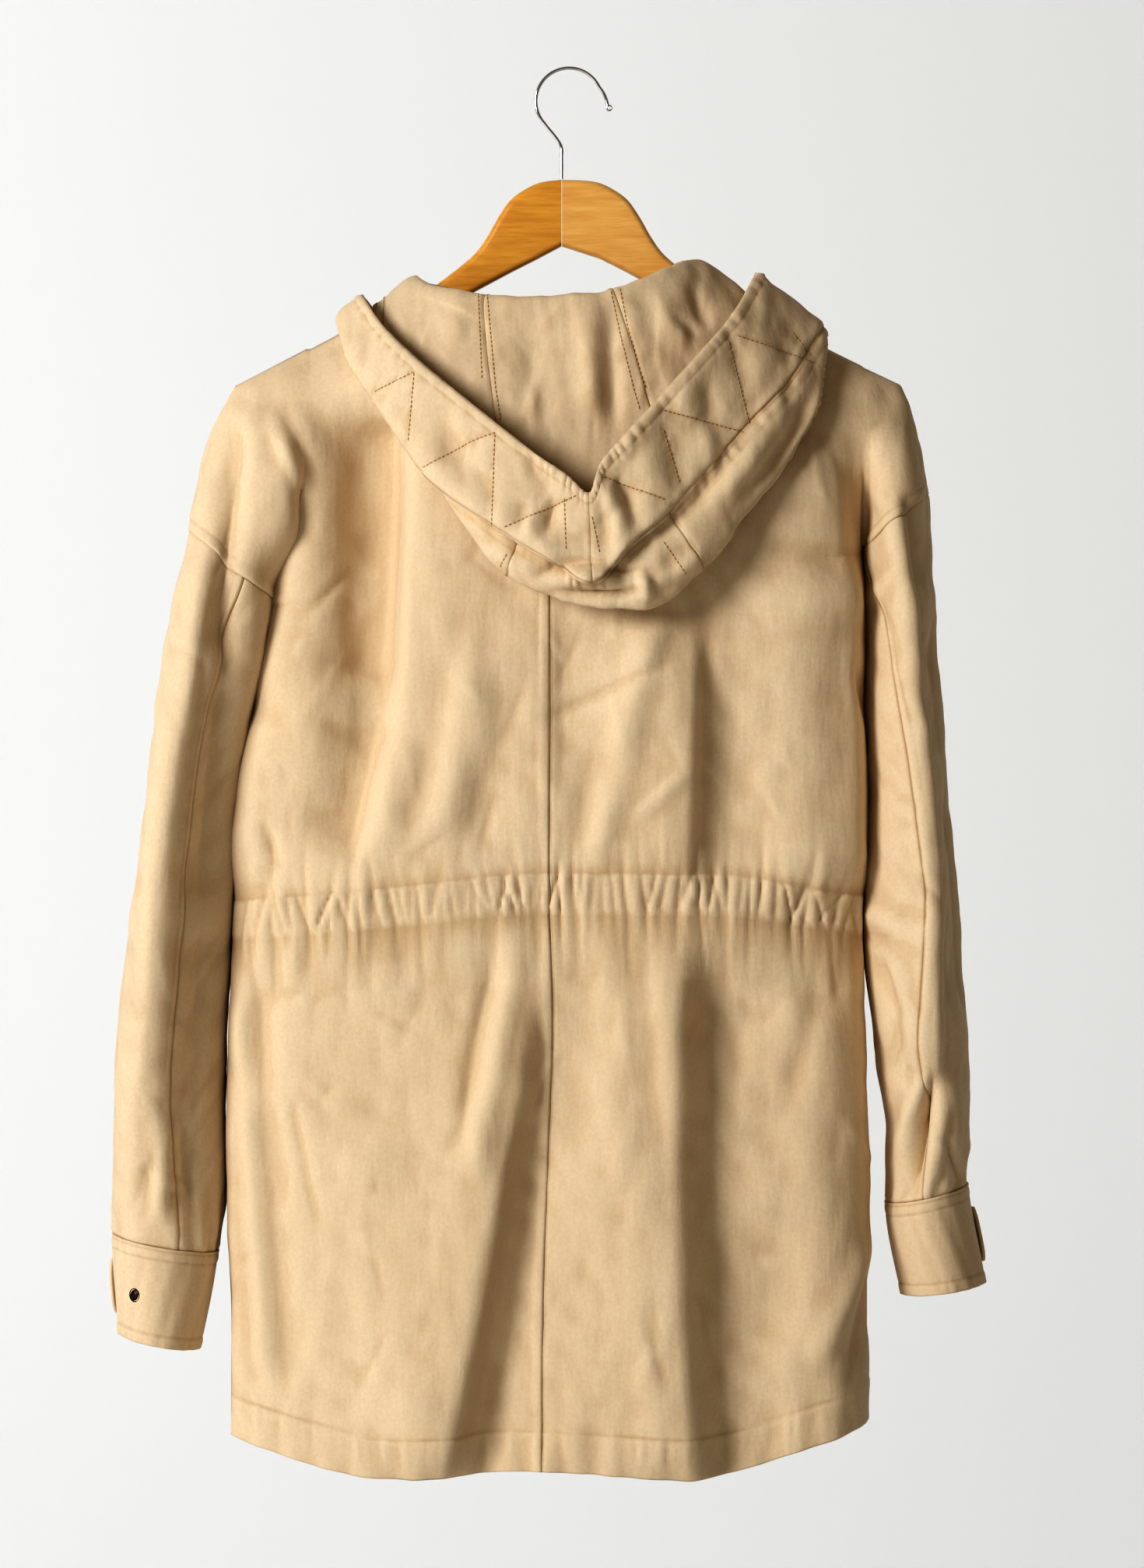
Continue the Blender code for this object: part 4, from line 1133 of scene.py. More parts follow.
@dataclass(frozen=True)
class WoodFinish:
    """Clear varnished wood, with long grain, fine pores and a slow change of tone."""

    name: str
    light: Colour
    deep: Colour
    roughness: float = 0.36
    grain_turn: float = 0.5
    grain: Triple = (9.0, 90.0, 90.0)
    pores: Triple = (60.0, 900.0, 900.0)

    def material(self) -> Material:
        """Mix the grain and the pores, under a clear coat.

        Returns:
            The material.
        """
        bench = NodeBench(self.name)
        turn = (0.0, self.grain_turn, 0.0)
        grain = bench.noise(3.0, 6.0, bench.mapped("Object", turn, self.grain))
        pores = bench.noise(1.6, 3.0, bench.mapped("Object", turn, self.pores))
        tone = bench.mix(bench.spread(grain, 0.3, 0.7), self.light, self.deep)
        tone = bench.mix(bench.spread(pores, 0.5, 0.8, 0.0, 0.35), tone, self.deep, "MULTIPLY")
        tone = bench.mix(bench.spread(bench.noise(14.0, 2.0), 0.3, 0.7, 0.0, 0.25), tone, self.light)
        return bench.dress({
            "Base Color": tone,
            "Roughness": bench.spread(grain, 0.2, 0.8, self.roughness - 0.05, self.roughness + 0.08),
            "Normal": bench.bump(pores, 0.12, 0.0002),
            "Coat Weight": 0.25, "Coat Roughness": 0.2,
        })


@dataclass(frozen=True)
class MetalFinish:
    """Bright or darkened metal with a faint brushed unevenness."""

    name: str
    light: Colour
    deep: Colour
    roughness: float
    grain: float = 300.0

    def material(self) -> Material:
        """Let one noise change the tone, the height and the shine.

        Returns:
            The material.
        """
        bench = NodeBench(self.name)
        cloud = bench.noise(self.grain, 4.0)
        return bench.dress({
            "Base Color": bench.mix(bench.spread(cloud, 0.3, 0.7), self.light, self.deep),
            "Roughness": bench.spread(cloud, 0.2, 0.8, self.roughness - 0.04, self.roughness + 0.1),
            "Normal": bench.bump(cloud, 0.1, 0.00005),
            "Metallic": 1.0,
        })


@dataclass(frozen=True)
class PlasterFinish:
    """Plain pale paint for the backdrop and the floor. The backdrop shows from its painted side only."""

    name: str
    tone: Colour
    one_sided: bool = False
    glow: float = 0.0
    glow_tone: Colour = (0.92, 0.97, 1.0)
    paler: float = 1.02

    def material(self) -> Material:
        """Lay the paint, and let it be clear from behind where it is one-sided.

        Returns:
            The material.
        """
        bench = NodeBench(self.name)
        paler = tuple(min(1.0, part * self.paler) for part in self.tone)
        if self.one_sided:
            clear = bench.add("ShaderNodeBsdfTransparent")
            behind = bench.add("ShaderNodeNewGeometry").outputs["Backfacing"]
            sides = {0: behind, 1: bench.shader.outputs[0], 2: clear.outputs[0]}
            pick = bench.add("ShaderNodeMixShader", sides)
            bench.fill(bench.tree.nodes["Material Output"], {"Surface": pick.outputs[0]})
        return bench.dress({
            "Emission Color": (*self.glow_tone, 1), "Emission Strength": self.glow,
            "Base Color": bench.mix(bench.noise(1.3, 2.0), self.tone, paler),
            "Normal": bench.bump(bench.noise(90.0), 0.05, 0.0006),
            "Roughness": 0.9,
        })


def curve_mesh(curve: bpy.types.Curve, radius: float, resolution: int) -> Mesh:
    """Turn a curve into the mesh of a thread or a wire along it.

    Args:
        curve: the curve, which is used up.
        radius: the thread's radius in millimetres.
        resolution: how round it is.

    Returns:
        The mesh.
    """
    curve.dimensions = "3D"
    curve.bevel_depth = radius * MM
    curve.bevel_resolution = resolution
    holder = bpy.data.objects.new(curve.name, curve)
    mesh = bpy.data.meshes.new_from_object(holder)
    bpy.data.objects.remove(holder)
    bpy.data.curves.remove(curve)
    mesh.shade_smooth()
    return mesh


# Sewing.


@dataclass
class Sewing:
    """Topstitching of one sub-assembly: each stitch is a length of thread that dips in at its ends."""

    name: str
    finish: Material
    pitch: float = 3.1
    stitch: float = 2.5
    radius: float = 0.4
    stand: float = 0.16
    dip: float = 0.35
    first: float = 0.3
    shares: Row = (0.0, 0.2, 0.8, 1.0)
    thins: Row = (0.5, 1.0, 1.0, 0.5)
    rows: list[tuple[Array, Array]] = field(default_factory=list)

    def along(self, net: ClothNet, u: Array, v: Array) -> None:
        """Add a row that follows places on a net."""
        u, v = np.broadcast_arrays(np.asarray(u, float), np.asarray(v, float))
        self.rows.append(net.at(u, v))

    def drawn(self, tree: BVHTree, corners: Sequence[Span]) -> None:
        """Add a row that is drawn on the cloth as it is seen from the back.

        Args:
            tree: the cloth.
            corners: the row's corners, as place across and drop.
        """
        line = np.array(corners, float)
        step = np.concatenate(([0.0], np.cumsum(np.hypot(*np.diff(line, axis=0).T))))
        at = np.linspace(0.0, step[-1], max(2, int(step[-1])))
        found = []
        for x, drop in zip(np.interp(at, step, line[:, 0]), np.interp(at, step, line[:, 1])):
            place, out, _, _ = tree.ray_cast(Vector((x * MM, -0.5, -drop * MM)), Vector((0, 1, 0)))
            if place is not None:
                found.append((np.array(place) / MM, np.array(out)))
        if len(found) > 2:
            points, normals = zip(*found)
            self.rows.append((np.array(points), np.array(normals)))

    def make(self) -> Piece:
        """Sew all rows as one piece.

        Returns:
            The piece.
        """
        curve = bpy.data.curves.new(self.name, "CURVE")
        share = np.array(self.shares)
        lift = np.array([-self.dip, self.stand, self.stand, -self.dip])
        for row in self.rows:
            steps = np.linalg.norm(np.diff(row[0], axis=0), axis=1)
            length = np.concatenate(([0.0], np.cumsum(steps)))
            for start in np.arange(self.first, length[-1] - self.stitch, self.pitch):
                at = start + self.stitch * share
                place, out = (np.stack([np.interp(at, length, values[:, k]) for k in range(3)], axis=1)
                              for values in row)
                place = (place + out * lift[:, None]) * MM
                spline = curve.splines.new("POLY")
                spline.points.add(len(share) - 1)
                spline.points.foreach_set("co", np.column_stack([place, np.ones(len(share))]).ravel())
                spline.points.foreach_set("radius", self.thins)
        mesh = curve_mesh(curve, self.radius, 0)
        mesh.name = self.name
        return add_piece(self.name, mesh, self.finish)
# Back and fronts.


ARM_CREASES: dict[Side, tuple[Crease, ...]] = {
    Side.LEFT: table(
        Crease,
        (-225, 246, -228, 410, 0, 16, 8, -7), (-228, 410, -243, 576, 0, 22, 9, -7),
        (-243, 576, -250, 780, 0, 22, 10, -6), (-209, 253, -201, 337, 0, 14, 14, 2.5),
        (-266, 330, -280, 638, 0, 9, 12, 3), (-287, 690, -284, 774, 0, 8, 8, -1.6),
        (-268, 706, -274, 779, 0, 6, 7, 1.8), (-276, 732, -288, 779, 0, 5, 6, -1.8),
        (-244, 326, -255, 446, 0, 9, 5, 2.5), (-209, 347, -215, 430, 0, 7, 8, 1.2),
        (-294, 774, -286, 742, 0, 4, 4, -1.4), (-255, 711, -250, 774, 0, 4, 5, -1.6),
    ),
    Side.RIGHT: table(
        Crease,
        (219, 298, 226, 342, 0, 9, 4, 4), (226, 342, 234, 430, 0, 9, 4, 4.5),
        (234, 430, 247, 560, 0, 12, 5, 4), (247, 560, 244, 683, -2, 12, 5, 4.5),
        (228, 300, 237, 368, 0, 6, 16, -4.4), (237, 368, 247, 482, 0, 7, 18, -4.8),
        (249, 482, 259, 640, 0, 8, 18, -4.2), (198, 570, 233, 589, 0, 5, 7, 2.2),
        (201, 584, 223, 605, 0, 4, 5, -2), (207, 599, 220, 638, 0, 4, 6, -3),
        (220, 638, 217, 676, 0, 4, 6, -3), (213, 594, 229, 633, 0, 5, 6, 2.5),
        (229, 633, 232, 670, 0, 5, 7, 2), (202, 633, 213, 690, 0, 6, 6, -1.5),
        (243, 684, 229, 760, 0, 3.4, 5, -7.5), (235, 685, 222, 745, 0, 6, 4, 3),
        (250, 698, 243, 757, 0, 6, 5, 3.6), (221, 701, 218, 758, 0, 5, 5, -1.6),
        (250, 722, 263, 753, 0, 2.5, 2.5, -2.5), (257, 680, 261, 748, 0, 5, 5, 1.4),
        (207, 253, 213, 295, 0, 8, 10, 1.6), (218, 571, 239, 576, 0, 4, 5, -1.4),
    ),
}
ARM_STRAYS = {Side.LEFT: ((-305, -215), (240, 770)), Side.RIGHT: ((205, 285), (230, 740))}
FRONT_CREASE_SHIFT = 22.0
FRONT_CREASE_SHARE = 0.7
ARM_RELIEF = 1.8


def arm_relief(side: Side, points: Array, turn: Array) -> Array:
    """How far an arm's creases and its softer unevenness stand out.

    Args:
        side: which arm.
        points: places on it.
        turn: their share of the way round it.

    Returns:
        The height at each.
    """
    x, y, drop = points[..., 0], points[..., 1], -points[..., 2]
    turn = np.broadcast_to(turn % 1.0, x.shape)
    half = np.where(turn <= 0.5, turn, 1 - turn)
    fade = ease(0.0, 0.05, half) * (1 - ease(0.44, 0.5, half))
    strays = stray_creases(53 + side, 46, *ARM_STRAYS[side])
    back = crease_height(ARM_CREASES[side], x, drop) + crease_height(strays[::2], x, drop)
    front = FRONT_CREASE_SHARE * crease_height(ARM_CREASES[side], x, drop + FRONT_CREASE_SHIFT)
    front = front + crease_height(strays[1::2], x, drop)
    soft = crumple(x + y, drop, 61 + side, 40.0, 0.6) + crumple(x, drop + y, 67, 15.0, 0.2)
    return ARM_RELIEF * np.where(turn <= 0.5, back, front) * fade + soft


@dataclass
class Gathers:
    """What a drawn casing does to the cloth: small uneven ridges through it, that fade out beyond it."""

    seed: int
    pitch: float = 6.8
    height: float = 2.1
    span: Span = (-228.0, 204.0)
    jitter: float = 0.4
    heights: Span = (0.4, 1.2)
    widths: Span = (1.3, 2.8)
    lean: float = 0.2
    lean_reach: float = 24.0
    rises: Span = (2, 11)
    falls: Span = (3, 15)
    power: float = 1.1
    slack: tuple[Span, ...] = ((-88.0, -48.0), (10.0, 30.0))
    slack_share: float = 0.4
    puff: Triple = (0.6, 2.2, 1.7)
    pinch: Span = (0.45, 2.4)

    def lift(self, x: Array, drop: Array, top: Array, low: Array) -> Array:
        """How far the gathers stand out.

        Args:
            x: places across.
            drop: their drops.
            top: drop of the casing's upper row of stitches there.
            low: drop of its lower row.

        Returns:
            The height at each place.
        """
        draw = np.random.default_rng(self.seed)
        total = np.zeros(np.broadcast(x, drop).shape)
        above, below = np.maximum(top - drop, 0), np.maximum(drop - low, 0)
        puff_height, puff_place, puff_width = self.puff
        for place in np.arange(*self.span, self.pitch):
            at = place + self.pitch * draw.uniform(-self.jitter, self.jitter)
            height, width = self.height * draw.uniform(*self.heights), draw.uniform(*self.widths)
            height *= self.slack_share if any(a < at < b for a, b in self.slack) else 1.0
            lean, rise = draw.normal(0.0, self.lean), draw.uniform(*self.rises) ** self.power
            fall = draw.uniform(*self.falls) ** self.power
            off = x - at - lean * np.clip(drop - (top + low) / 2, -self.lean_reach, self.lean_reach)
            reach = np.exp(-above / rise - below / fall)
            beside = (off - width * puff_place) / (width * puff_width)
            total -= height * reach * np.exp(-((off / width) ** 2))
            total += height * puff_height * reach * np.exp(-(beside ** 2))
        depth, width = self.pinch
        pinch = depth * (np.exp(-((drop - top) / width) ** 2) + np.exp(-((drop - low) / width) ** 2))
        return total * (1 - pinch)


@dataclass
class Panels:
    """The two backs and the two fronts, each with its dropped shoulder."""

    form: BodyForm
    finish: Material
    thread: Material
    fine: float = 1.8
    coarse: float = 3.2
    row_ratio: float = 1.6
    casing_step: float = 1.6
    hem_step: float = 1.4
    cap_columns: int = 44
    cap_inner: int = 21
    cap_from: float = 0.465
    relief: float = 2.0
    join_reach: float = 34.0
    join_softness: float = 16.0
    join_fade: Span = (0.5, 0.95)
    join_rows: float = 6.0
    hem_turned: float = 27.0
    seam_turned: float = 7.0
    plain_front: float = 27.0
    plain_fade: float = 16.0
    shoulder_rows: Row = (0.0, 0.018, 0.045, 0.1, 0.2, 0.34, 0.5, 0.66, 0.84, 1.0)
    strays: tuple[int, Span, Span] = (110, (-232, 202), (225, 925))
    crumples: tuple[Span, Span] = ((46.0, 0.55), (17.0, 0.2))
    casing_puff: Span = (0.5, 0.7)
    hem_bulges: Triple = (14.0, 9.0, 0.5)
    seam_bulges: Triple = (9.0, 4.0, 0.3)
    centre_bulges: Triple = (11.0, 3.2, 0.22)
    flap_heights: Triple = (0.5, 0.6, 0.7)
    flap_edges: Triple = (0.9, 0.8, 0.6)
    hem_wave: Span = (0.8, 34.0)
    casing_line: Span = (1.3, 0.5)
    hem_line: Span = (1.2, 0.45)
    armhole_line: Span = (1.2, 0.35)
    side_line: Span = (1.5, 0.5)
    ridge_line: Span = (1.6, 0.5)
    centre_line: Span = (1.1, 0.7)
    beside_line: Span = (1.0, 0.3)
    # How much shade is painted into the seams' and casing's furrows.
    painted_furrow_shade: float = 0.45
    cuts: dict[str, Cut] = field(default_factory=lambda: {
        "back_left": Cut(0.33, 0.82, 0.192), "back_right": Cut(0.33, 0.82, 0.195),
        "front_left": Cut(0.32, 0.82, 0.184), "front_right": Cut(0.32, 0.82, 0.184),
    })
    creases: dict[Face, tuple[Crease, ...]] = field(default_factory=lambda: {
        Face.BACK: table(
            Crease,
            (-122, 228, -127, 430, 0, 40, 11, -13.5), (-127, 430, -152, 535, 0, 30, 11, -10),
            (-98, 250, -108, 440, 0, 14, 32, 3.5), (-181, 240, -212, 430, 0, 13, 17, 5),
            (-212, 430, -222, 545, 0, 9, 14, 2.6), (-84, 404, -110, 524, 4, 12, 12, -2),
            (-67, 389, -89, 524, 4, 13, 13, 1.6), (-40, 410, -66, 529, 4, 11, 15, -1.6),
            (-5, 368, -2, 488, 0, 9, 22, -1.8), (60, 378, 36, 472, -3, 13, 12, 3.2),
            (36, 472, 18, 540, 0, 12, 13, 2.4), (18, 456, 6, 537, 0, 9, 11, -1.4),
            (80, 378, 80, 541, 0, 30, 9, 1.2), (93, 330, 92, 548, 0, 12, 44, -1.5),
            (172, 262, 174, 378, 0, 56, 14, 5), (178, 340, 182, 562, 0, 48, 13, 9.5),
            (171, 326, 172, 534, 0, 14, 12, -1.4), (-145, 338, -178, 370, 0, 4, 5, -1.3),
            (71, 404, -13, 442, 0, 6, 4, -1.2), (80, 477, 47, 506, 0, 5, 5, 1.3),
            (-205, 514, -197, 541, 0, 4, 4, -2.2), (-197, 540, -211, 560, 0, 4, 4, -2.2),
            (183, 404, 190, 440, 0, 5, 5, -2.2), (-200, 240, -181, 284, 0, 6, 6, 1.8),
            (-190, 238, -172, 284, 0, 5, 7, -1.8), (-220, 623, -217, 690, 0, 9, 4, 3),
            (-217, 690, -200, 893, 0, 11, 6, 2.6), (-210, 612, -205, 701, 0, 5, 11, -3),
            (-204, 701, -186, 896, 0, 7, 14, -2), (-197, 586, -198, 633, 0, 5, 6, -2.2),
            (-164, 584, -186, 625, 0, 5, 7, -2), (-125, 581, -138, 612, 0, 4, 5, -1.5),
            (-99, 579, -120, 619, 0, 5, 7, -1.8), (-180, 584, -191, 618, 0, 4, 4, 1.1),
            (-32, 586, -62, 742, 0, 10, 8, 3), (-41, 706, -88, 945, 0, 38, 8, 1.8),
            (-34, 706, -67, 945, 0, 10, 24, -1), (70, 590, 77, 960, -4, 40, 12, 1.4),
            (184, 610, 186, 960, 0, 44, 12, 4.6), (46, 581, 60, 732, 0, 14, 10, -1.8),
            (167, 615, 148, 703, 0, 9, 8, -2), (198, 789, 164, 873, 0, 9, 8, 2.6),
            (195, 815, 184, 886, 0, 5, 7, -3), (142, 774, 133, 878, 0, 20, 14, -2),
            (-188, 690, -169, 776, 0, 5, 5, -1), (-136, 716, -110, 925, 0, 28, 28, 2),
            (187, 592, 174, 638, 0, 6, 7, -1.8), (6, 586, 9, 742, 0, 12, 14, -1.2),
        ),
        Face.FRONT: table(
            Crease,
            (-150, 250, -140, 420, 0, 12, 26, 5), (-128, 300, -118, 520, 3, 10, 16, -3),
            (-90, 380, -76, 540, 0, 14, 12, 2), (140, 250, 134, 430, 0, 26, 12, 5),
            (112, 320, 104, 520, -3, 16, 10, -3), (72, 400, 66, 540, 0, 12, 14, 2),
            (-196, 420, -206, 540, 0, 10, 10, 2), (178, 420, 180, 540, 0, 10, 10, 2),
            (-186, 600, -176, 800, 0, 8, 12, -3), (-112, 590, -128, 930, 4, 30, 9, 4),
            (-60, 590, -66, 780, 0, 12, 9, -2), (96, 590, 118, 930, -4, 9, 30, 4),
            (60, 590, 58, 760, 0, 9, 12, -2), (168, 600, 160, 820, 0, 12, 8, -3),
        ),
    })

    def rows(self, step: float) -> Array:
        """The rows of a face, from its upper edge to its hem.

        Args:
            step: widest spacing in millimetres.

        Returns:
            Each row's place.
        """
        stretches = (((1.0, 1.9), 200.0, step), ((1.9, 3.12), 30.0, self.casing_step),
                     ((3.12, 3.93), 365.0, step), ((3.93, 4.0), 365.0, self.hem_step))
        lower = [refine(*stretch)[1:] for stretch in stretches]
        return np.concatenate([refine(self.shoulder_rows, 160.0, step)] + lower)

    def shares(self, side: Side, step: float) -> Array:
        """The torso's columns of a half, from its centre to its side.

        Args:
            side: which half.
            step: widest spacing in millimetres.

        Returns:
            Each column's share.
        """
        corner, edge = self.form.corner_share(side), abs(self.form.edge_x(side))
        crowd = 1 - (1 - np.linspace(0.0, 1.0, 12)) ** 1.7
        return np.concatenate((refine((0.0, 0.01, 0.04, corner), edge, step)[:-1],
                               refine(corner + (1 - corner) * crowd, edge, step)))

    def cap_turns(self) -> Array:
        """The columns of a shoulder's cap, from the torso to the arm's outside.

        Returns:
            Each column's share of the way round the arm.
        """
        start = np.sin((self.cap_from - 0.25) * 2 * np.pi)
        inner = 0.25 + np.arcsin(np.linspace(start, 0.0, self.cap_inner)) / (2 * np.pi)
        return np.concatenate((inner, np.linspace(0.25, 0.0, self.cap_columns - self.cap_inner + 1)[1:]))

    def soften_join(self, net: ClothNet, joins: Sequence[int]) -> None:
        """Let the cloth run smoothly from the torso over the shoulder into the arm, above the armhole's fold.

        Args:
            net: the face's net.
            joins: the columns where the torso ends.
        """
        across, _ = net.lengths()
        for j, v in enumerate(net.v):
            strength = 1 - float(ease(*self.join_fade, v))
            if strength <= 0 or v == 0:
                continue
            at = across[j]
            spacing = np.gradient(at)
            near = [np.exp(-(((at - at[join]) / self.join_reach) ** 4)) for join in joins]
            near = np.max(near, axis=0) * strength
            weight = np.exp(-((at[:, None] - at[None]) / self.join_softness) ** 2) * spacing[None]
            softened = weight @ net.points[j] / weight.sum(axis=1)[:, None]
            change = (softened - net.points[j]) * near[:, None]
            net.points[j, :, 1] += change[:, 1]
            net.points[j, :, 2] += change[:, 2] * (1 - np.exp(-j / self.join_rows))

    def face_net(self, face: Face) -> tuple[ClothNet, dict[Side, slice]]:
        """The whole back or front, from one arm's outside to the other's.

        Args:
            face: back or front.

        Returns:
            The net with its creases, gathers and seams, and each half's columns.
        """
        form = self.form
        step = self.fine if face == Face.BACK else self.coarse
        v = self.rows(step * self.row_ratio)
        turns = self.cap_turns()
        if face == Face.FRONT:
            turns = np.where(turns == 0, 1.0 - 1e-9, 1.0 - turns)
        halves, cap = {}, {}
        for side in Side:
            shares = self.shares(side, step)
            share, row = np.meshgrid(shares, v)
            turn, arm_row = np.meshgrid(turns, v * form.v_seam)
            halves[side] = np.concatenate([form.torso(side, share, row, face), form.arm(side, turn, arm_row)],
                                          axis=1)
            cap[side] = np.concatenate([np.full(len(shares), -1.0), np.linspace(0.0, 1.0, len(turns))])
        centre = halves[Side.LEFT].shape[1] - 1
        points = np.concatenate([halves[Side.LEFT][:, ::-1], halves[Side.RIGHT][:, 1:]], axis=1)
        cap_at = np.concatenate([cap[Side.LEFT][::-1], cap[Side.RIGHT][1:]])
        net = ClothNet(np.arange(points.shape[1]), v, points, (0, face, 0))
        torso = np.flatnonzero(cap_at < 0)
        net.kept[v[:-1] >= form.v_armpit - 1e-9, :torso[0]] = False
        net.kept[v[:-1] >= form.v_armpit - 1e-9, torso[-1]:] = False
        self.soften_join(net, (torso[0], torso[-1]))
        self.shape(net, face, centre, cap_at)
        return net, {Side.LEFT: slice(0, centre + 1), Side.RIGHT: slice(centre, points.shape[1])}

    def shape(self, net: ClothNet, face: Face, centre: int, cap: Array) -> None:
        """Raise the creases, gathers and seams of a whole face.

        Args:
            net: the face's net.
            face: back or front.
            centre: the column of the centre seam.
            cap: each column's way round the arm, from 0 to 1, or below 0 on the torso.
        """
        form, x, drop, v = self.form, net.x, net.drop, net.v[:, None]
        across, down = net.lengths()
        torso = np.flatnonzero(cap < 0)
        start, stop = across[:, [torso[0]]], across[:, [torso[-1]]]
        on_cap, on_torso = (cap >= 0)[None], (cap < 0)[None]
        armhole, top, low = (int(np.searchsorted(net.v, at - 1e-9))
                             for at in (form.v_armpit, form.v_casing_top, form.v_casing_low))
        above, up = down[[armhole]] - down, down[-1:] - down
        from_centre = np.abs(across - across[:, [centre]])
        from_side = np.minimum(across - start, stop - across)
        from_join = np.maximum(start - across, across - stop)
        below_armpit = ease(0.97, 1.03, v)
        side_fade = np.where(on_cap, 1 - ease(0.78, 1.0, cap)[None],
                             1 - below_armpit * (1 - ease(0.5, 14.0, from_side)))
        fade = side_fade * ease(1.0, 20.0, down) * np.where(on_cap, 1 - ease(0.7, 1.0, v), 1.0)
        if face == Face.FRONT:
            fade = fade * ease(self.plain_front, self.plain_front + self.plain_fade, from_centre)
        on_arm = on_cap * ease(0.0, 9.0, from_join)
        height = self.relief * crease_height(self.creases[face], x, drop)
        height += crease_height(stray_creases(47 + face, *self.strays), x, drop)
        wide, small = self.crumples
        height += crumple(x, drop, 11 + face, *wide) + crumple(x, drop, 17 + face, *small)
        height += Gathers(23 + face).lift(x, drop, drop[[top]], drop[[low]]) * on_torso
        casing = np.clip(v - form.v_casing_top, 0, 1)
        puff, roundness = self.casing_puff
        height = (height + puff * np.sin(np.pi * casing) ** roundness) * fade
        (hem, armhole_flap, centre_flap), edges = self.flap_heights, self.flap_edges
        wave, wave_reach = self.hem_wave
        height += (hem * flap(up, self.hem_turned, edges[0])
                   + pucker(x, up - self.hem_turned * 0.7, *self.hem_bulges, 31 + face)
                   + wave * np.sin(x / 4.3 + 1.7 * np.sin(x / 31)) * np.exp(-up / wave_reach)
                   ) * on_torso * side_fade
        height += (armhole_flap * flap(above, self.seam_turned, edges[1])
                   + pucker(across, above - 4.0, *self.seam_bulges, 37 + face)) * on_arm * side_fade
        line = (groove(drop - drop[[top]], *self.casing_line)
                + groove(drop - drop[[low]], *self.casing_line)) * on_torso
        line += groove(up - self.hem_turned, *self.hem_line) * on_torso
        line += groove(above - self.seam_turned, *self.armhole_line) * on_arm
        line += groove(from_side, *self.side_line) * below_armpit
        line += groove(down, *self.ridge_line) * (np.abs(x) > form.neck_half)
        if face == Face.BACK:
            left = (np.arange(len(cap)) <= centre)[None]
            height += centre_flap * flap(from_centre, self.seam_turned, edges[2]) * left
            height += pucker(drop, from_centre - 3.5, *self.centre_bulges, 41) * left
            beside = groove(from_centre - self.seam_turned, *self.beside_line) * left
            line += groove(from_centre, *self.centre_line) + beside
        else:
            covered = ease(self.plain_front - 3.0, self.plain_front, from_centre)
            line *= covered
            height *= covered
        # Each furrow also gets painted shade, as deep as it sinks.
        net.lift(height + self.cap_relief(net, face, torso, from_join) + line,
                 np.clip(-line, 0, 1) * self.painted_furrow_shade)

    def cap_relief(self, net: ClothNet, face: Face, torso: Array, from_join: Array) -> Array:
        """The arms' own creases, on a face's shoulder caps.

        Args:
            net: the face's net.
            face: back or front.
            torso: the columns that aren't on a cap.
            from_join: how far each point lies past the torso's edge.

        Returns:
            The height at each point.
        """
        _, down = net.lengths()
        arms = np.zeros(down.shape)
        for side, half in ((Side.LEFT, slice(0, torso[0])), (Side.RIGHT, slice(torso[-1] + 1, None))):
            turn = self.cap_turns()[None, ::side]
            turn = turn if face == Face.BACK else 1 - turn
            arms[:, half] = arm_relief(side, net.points[:, half], turn) * ease(4.0, 40.0, down[:, half])
        return arms * ease(0.0, 16.0, from_join)

    def stitch(self, net: ClothNet, face: Face, halves: dict[Side, slice], sewing: Sewing) -> None:
        """Sew the rows of a face.

        Args:
            net: the face's net, in its final form.
            face: back or front.
            halves: each half's columns.
            sewing: where the rows are added.
        """
        form, v = self.form, net.v
        across, down = net.lengths()
        centre = halves[Side.RIGHT].start
        columns = np.arange(len(net.u))
        torso = columns[net.kept[-1].nonzero()[0]]
        cap = {Side.LEFT: columns[2:torso[0]], Side.RIGHT: columns[torso[-1] + 2:-2]}
        gap = 0 if face == Face.BACK else int(self.plain_front / self.coarse)
        up = down[-1:] - down
        for side in Side:
            part = torso[torso < centre - gap] if side == Side.LEFT else torso[torso > centre + gap]
            for row in (form.v_casing_top, form.v_casing_low):
                sewing.along(net, part, np.full(len(part), row))
            hem = [np.interp(-self.hem_turned, -up[:, i], v) for i in part]
            sewing.along(net, part, np.array(hem))
            cap_v = [np.interp(-self.seam_turned, down[:, i] - np.interp(form.v_armpit, v, down[:, i]), v)
                     for i in cap[side]]
            sewing.along(net, cap[side], np.array(cap_v))
        if face == Face.BACK:
            aside = [np.interp(row[centre] - self.seam_turned, row, columns) for row in across]
            sewing.along(net, np.array(aside), v)

    def build(self) -> None:
        """Make the four panels and their topstitching."""
        sewing = Sewing("panel_topstitching", self.thread)
        for face in Face:
            net, halves = self.face_net(face)
            for side in Side:
                node = f"{face.word}_{side.word}"
                sew_piece(node, [net.part(halves[side])], self.finish)
            self.stitch(net, face, halves, sewing)
        sewing.make()


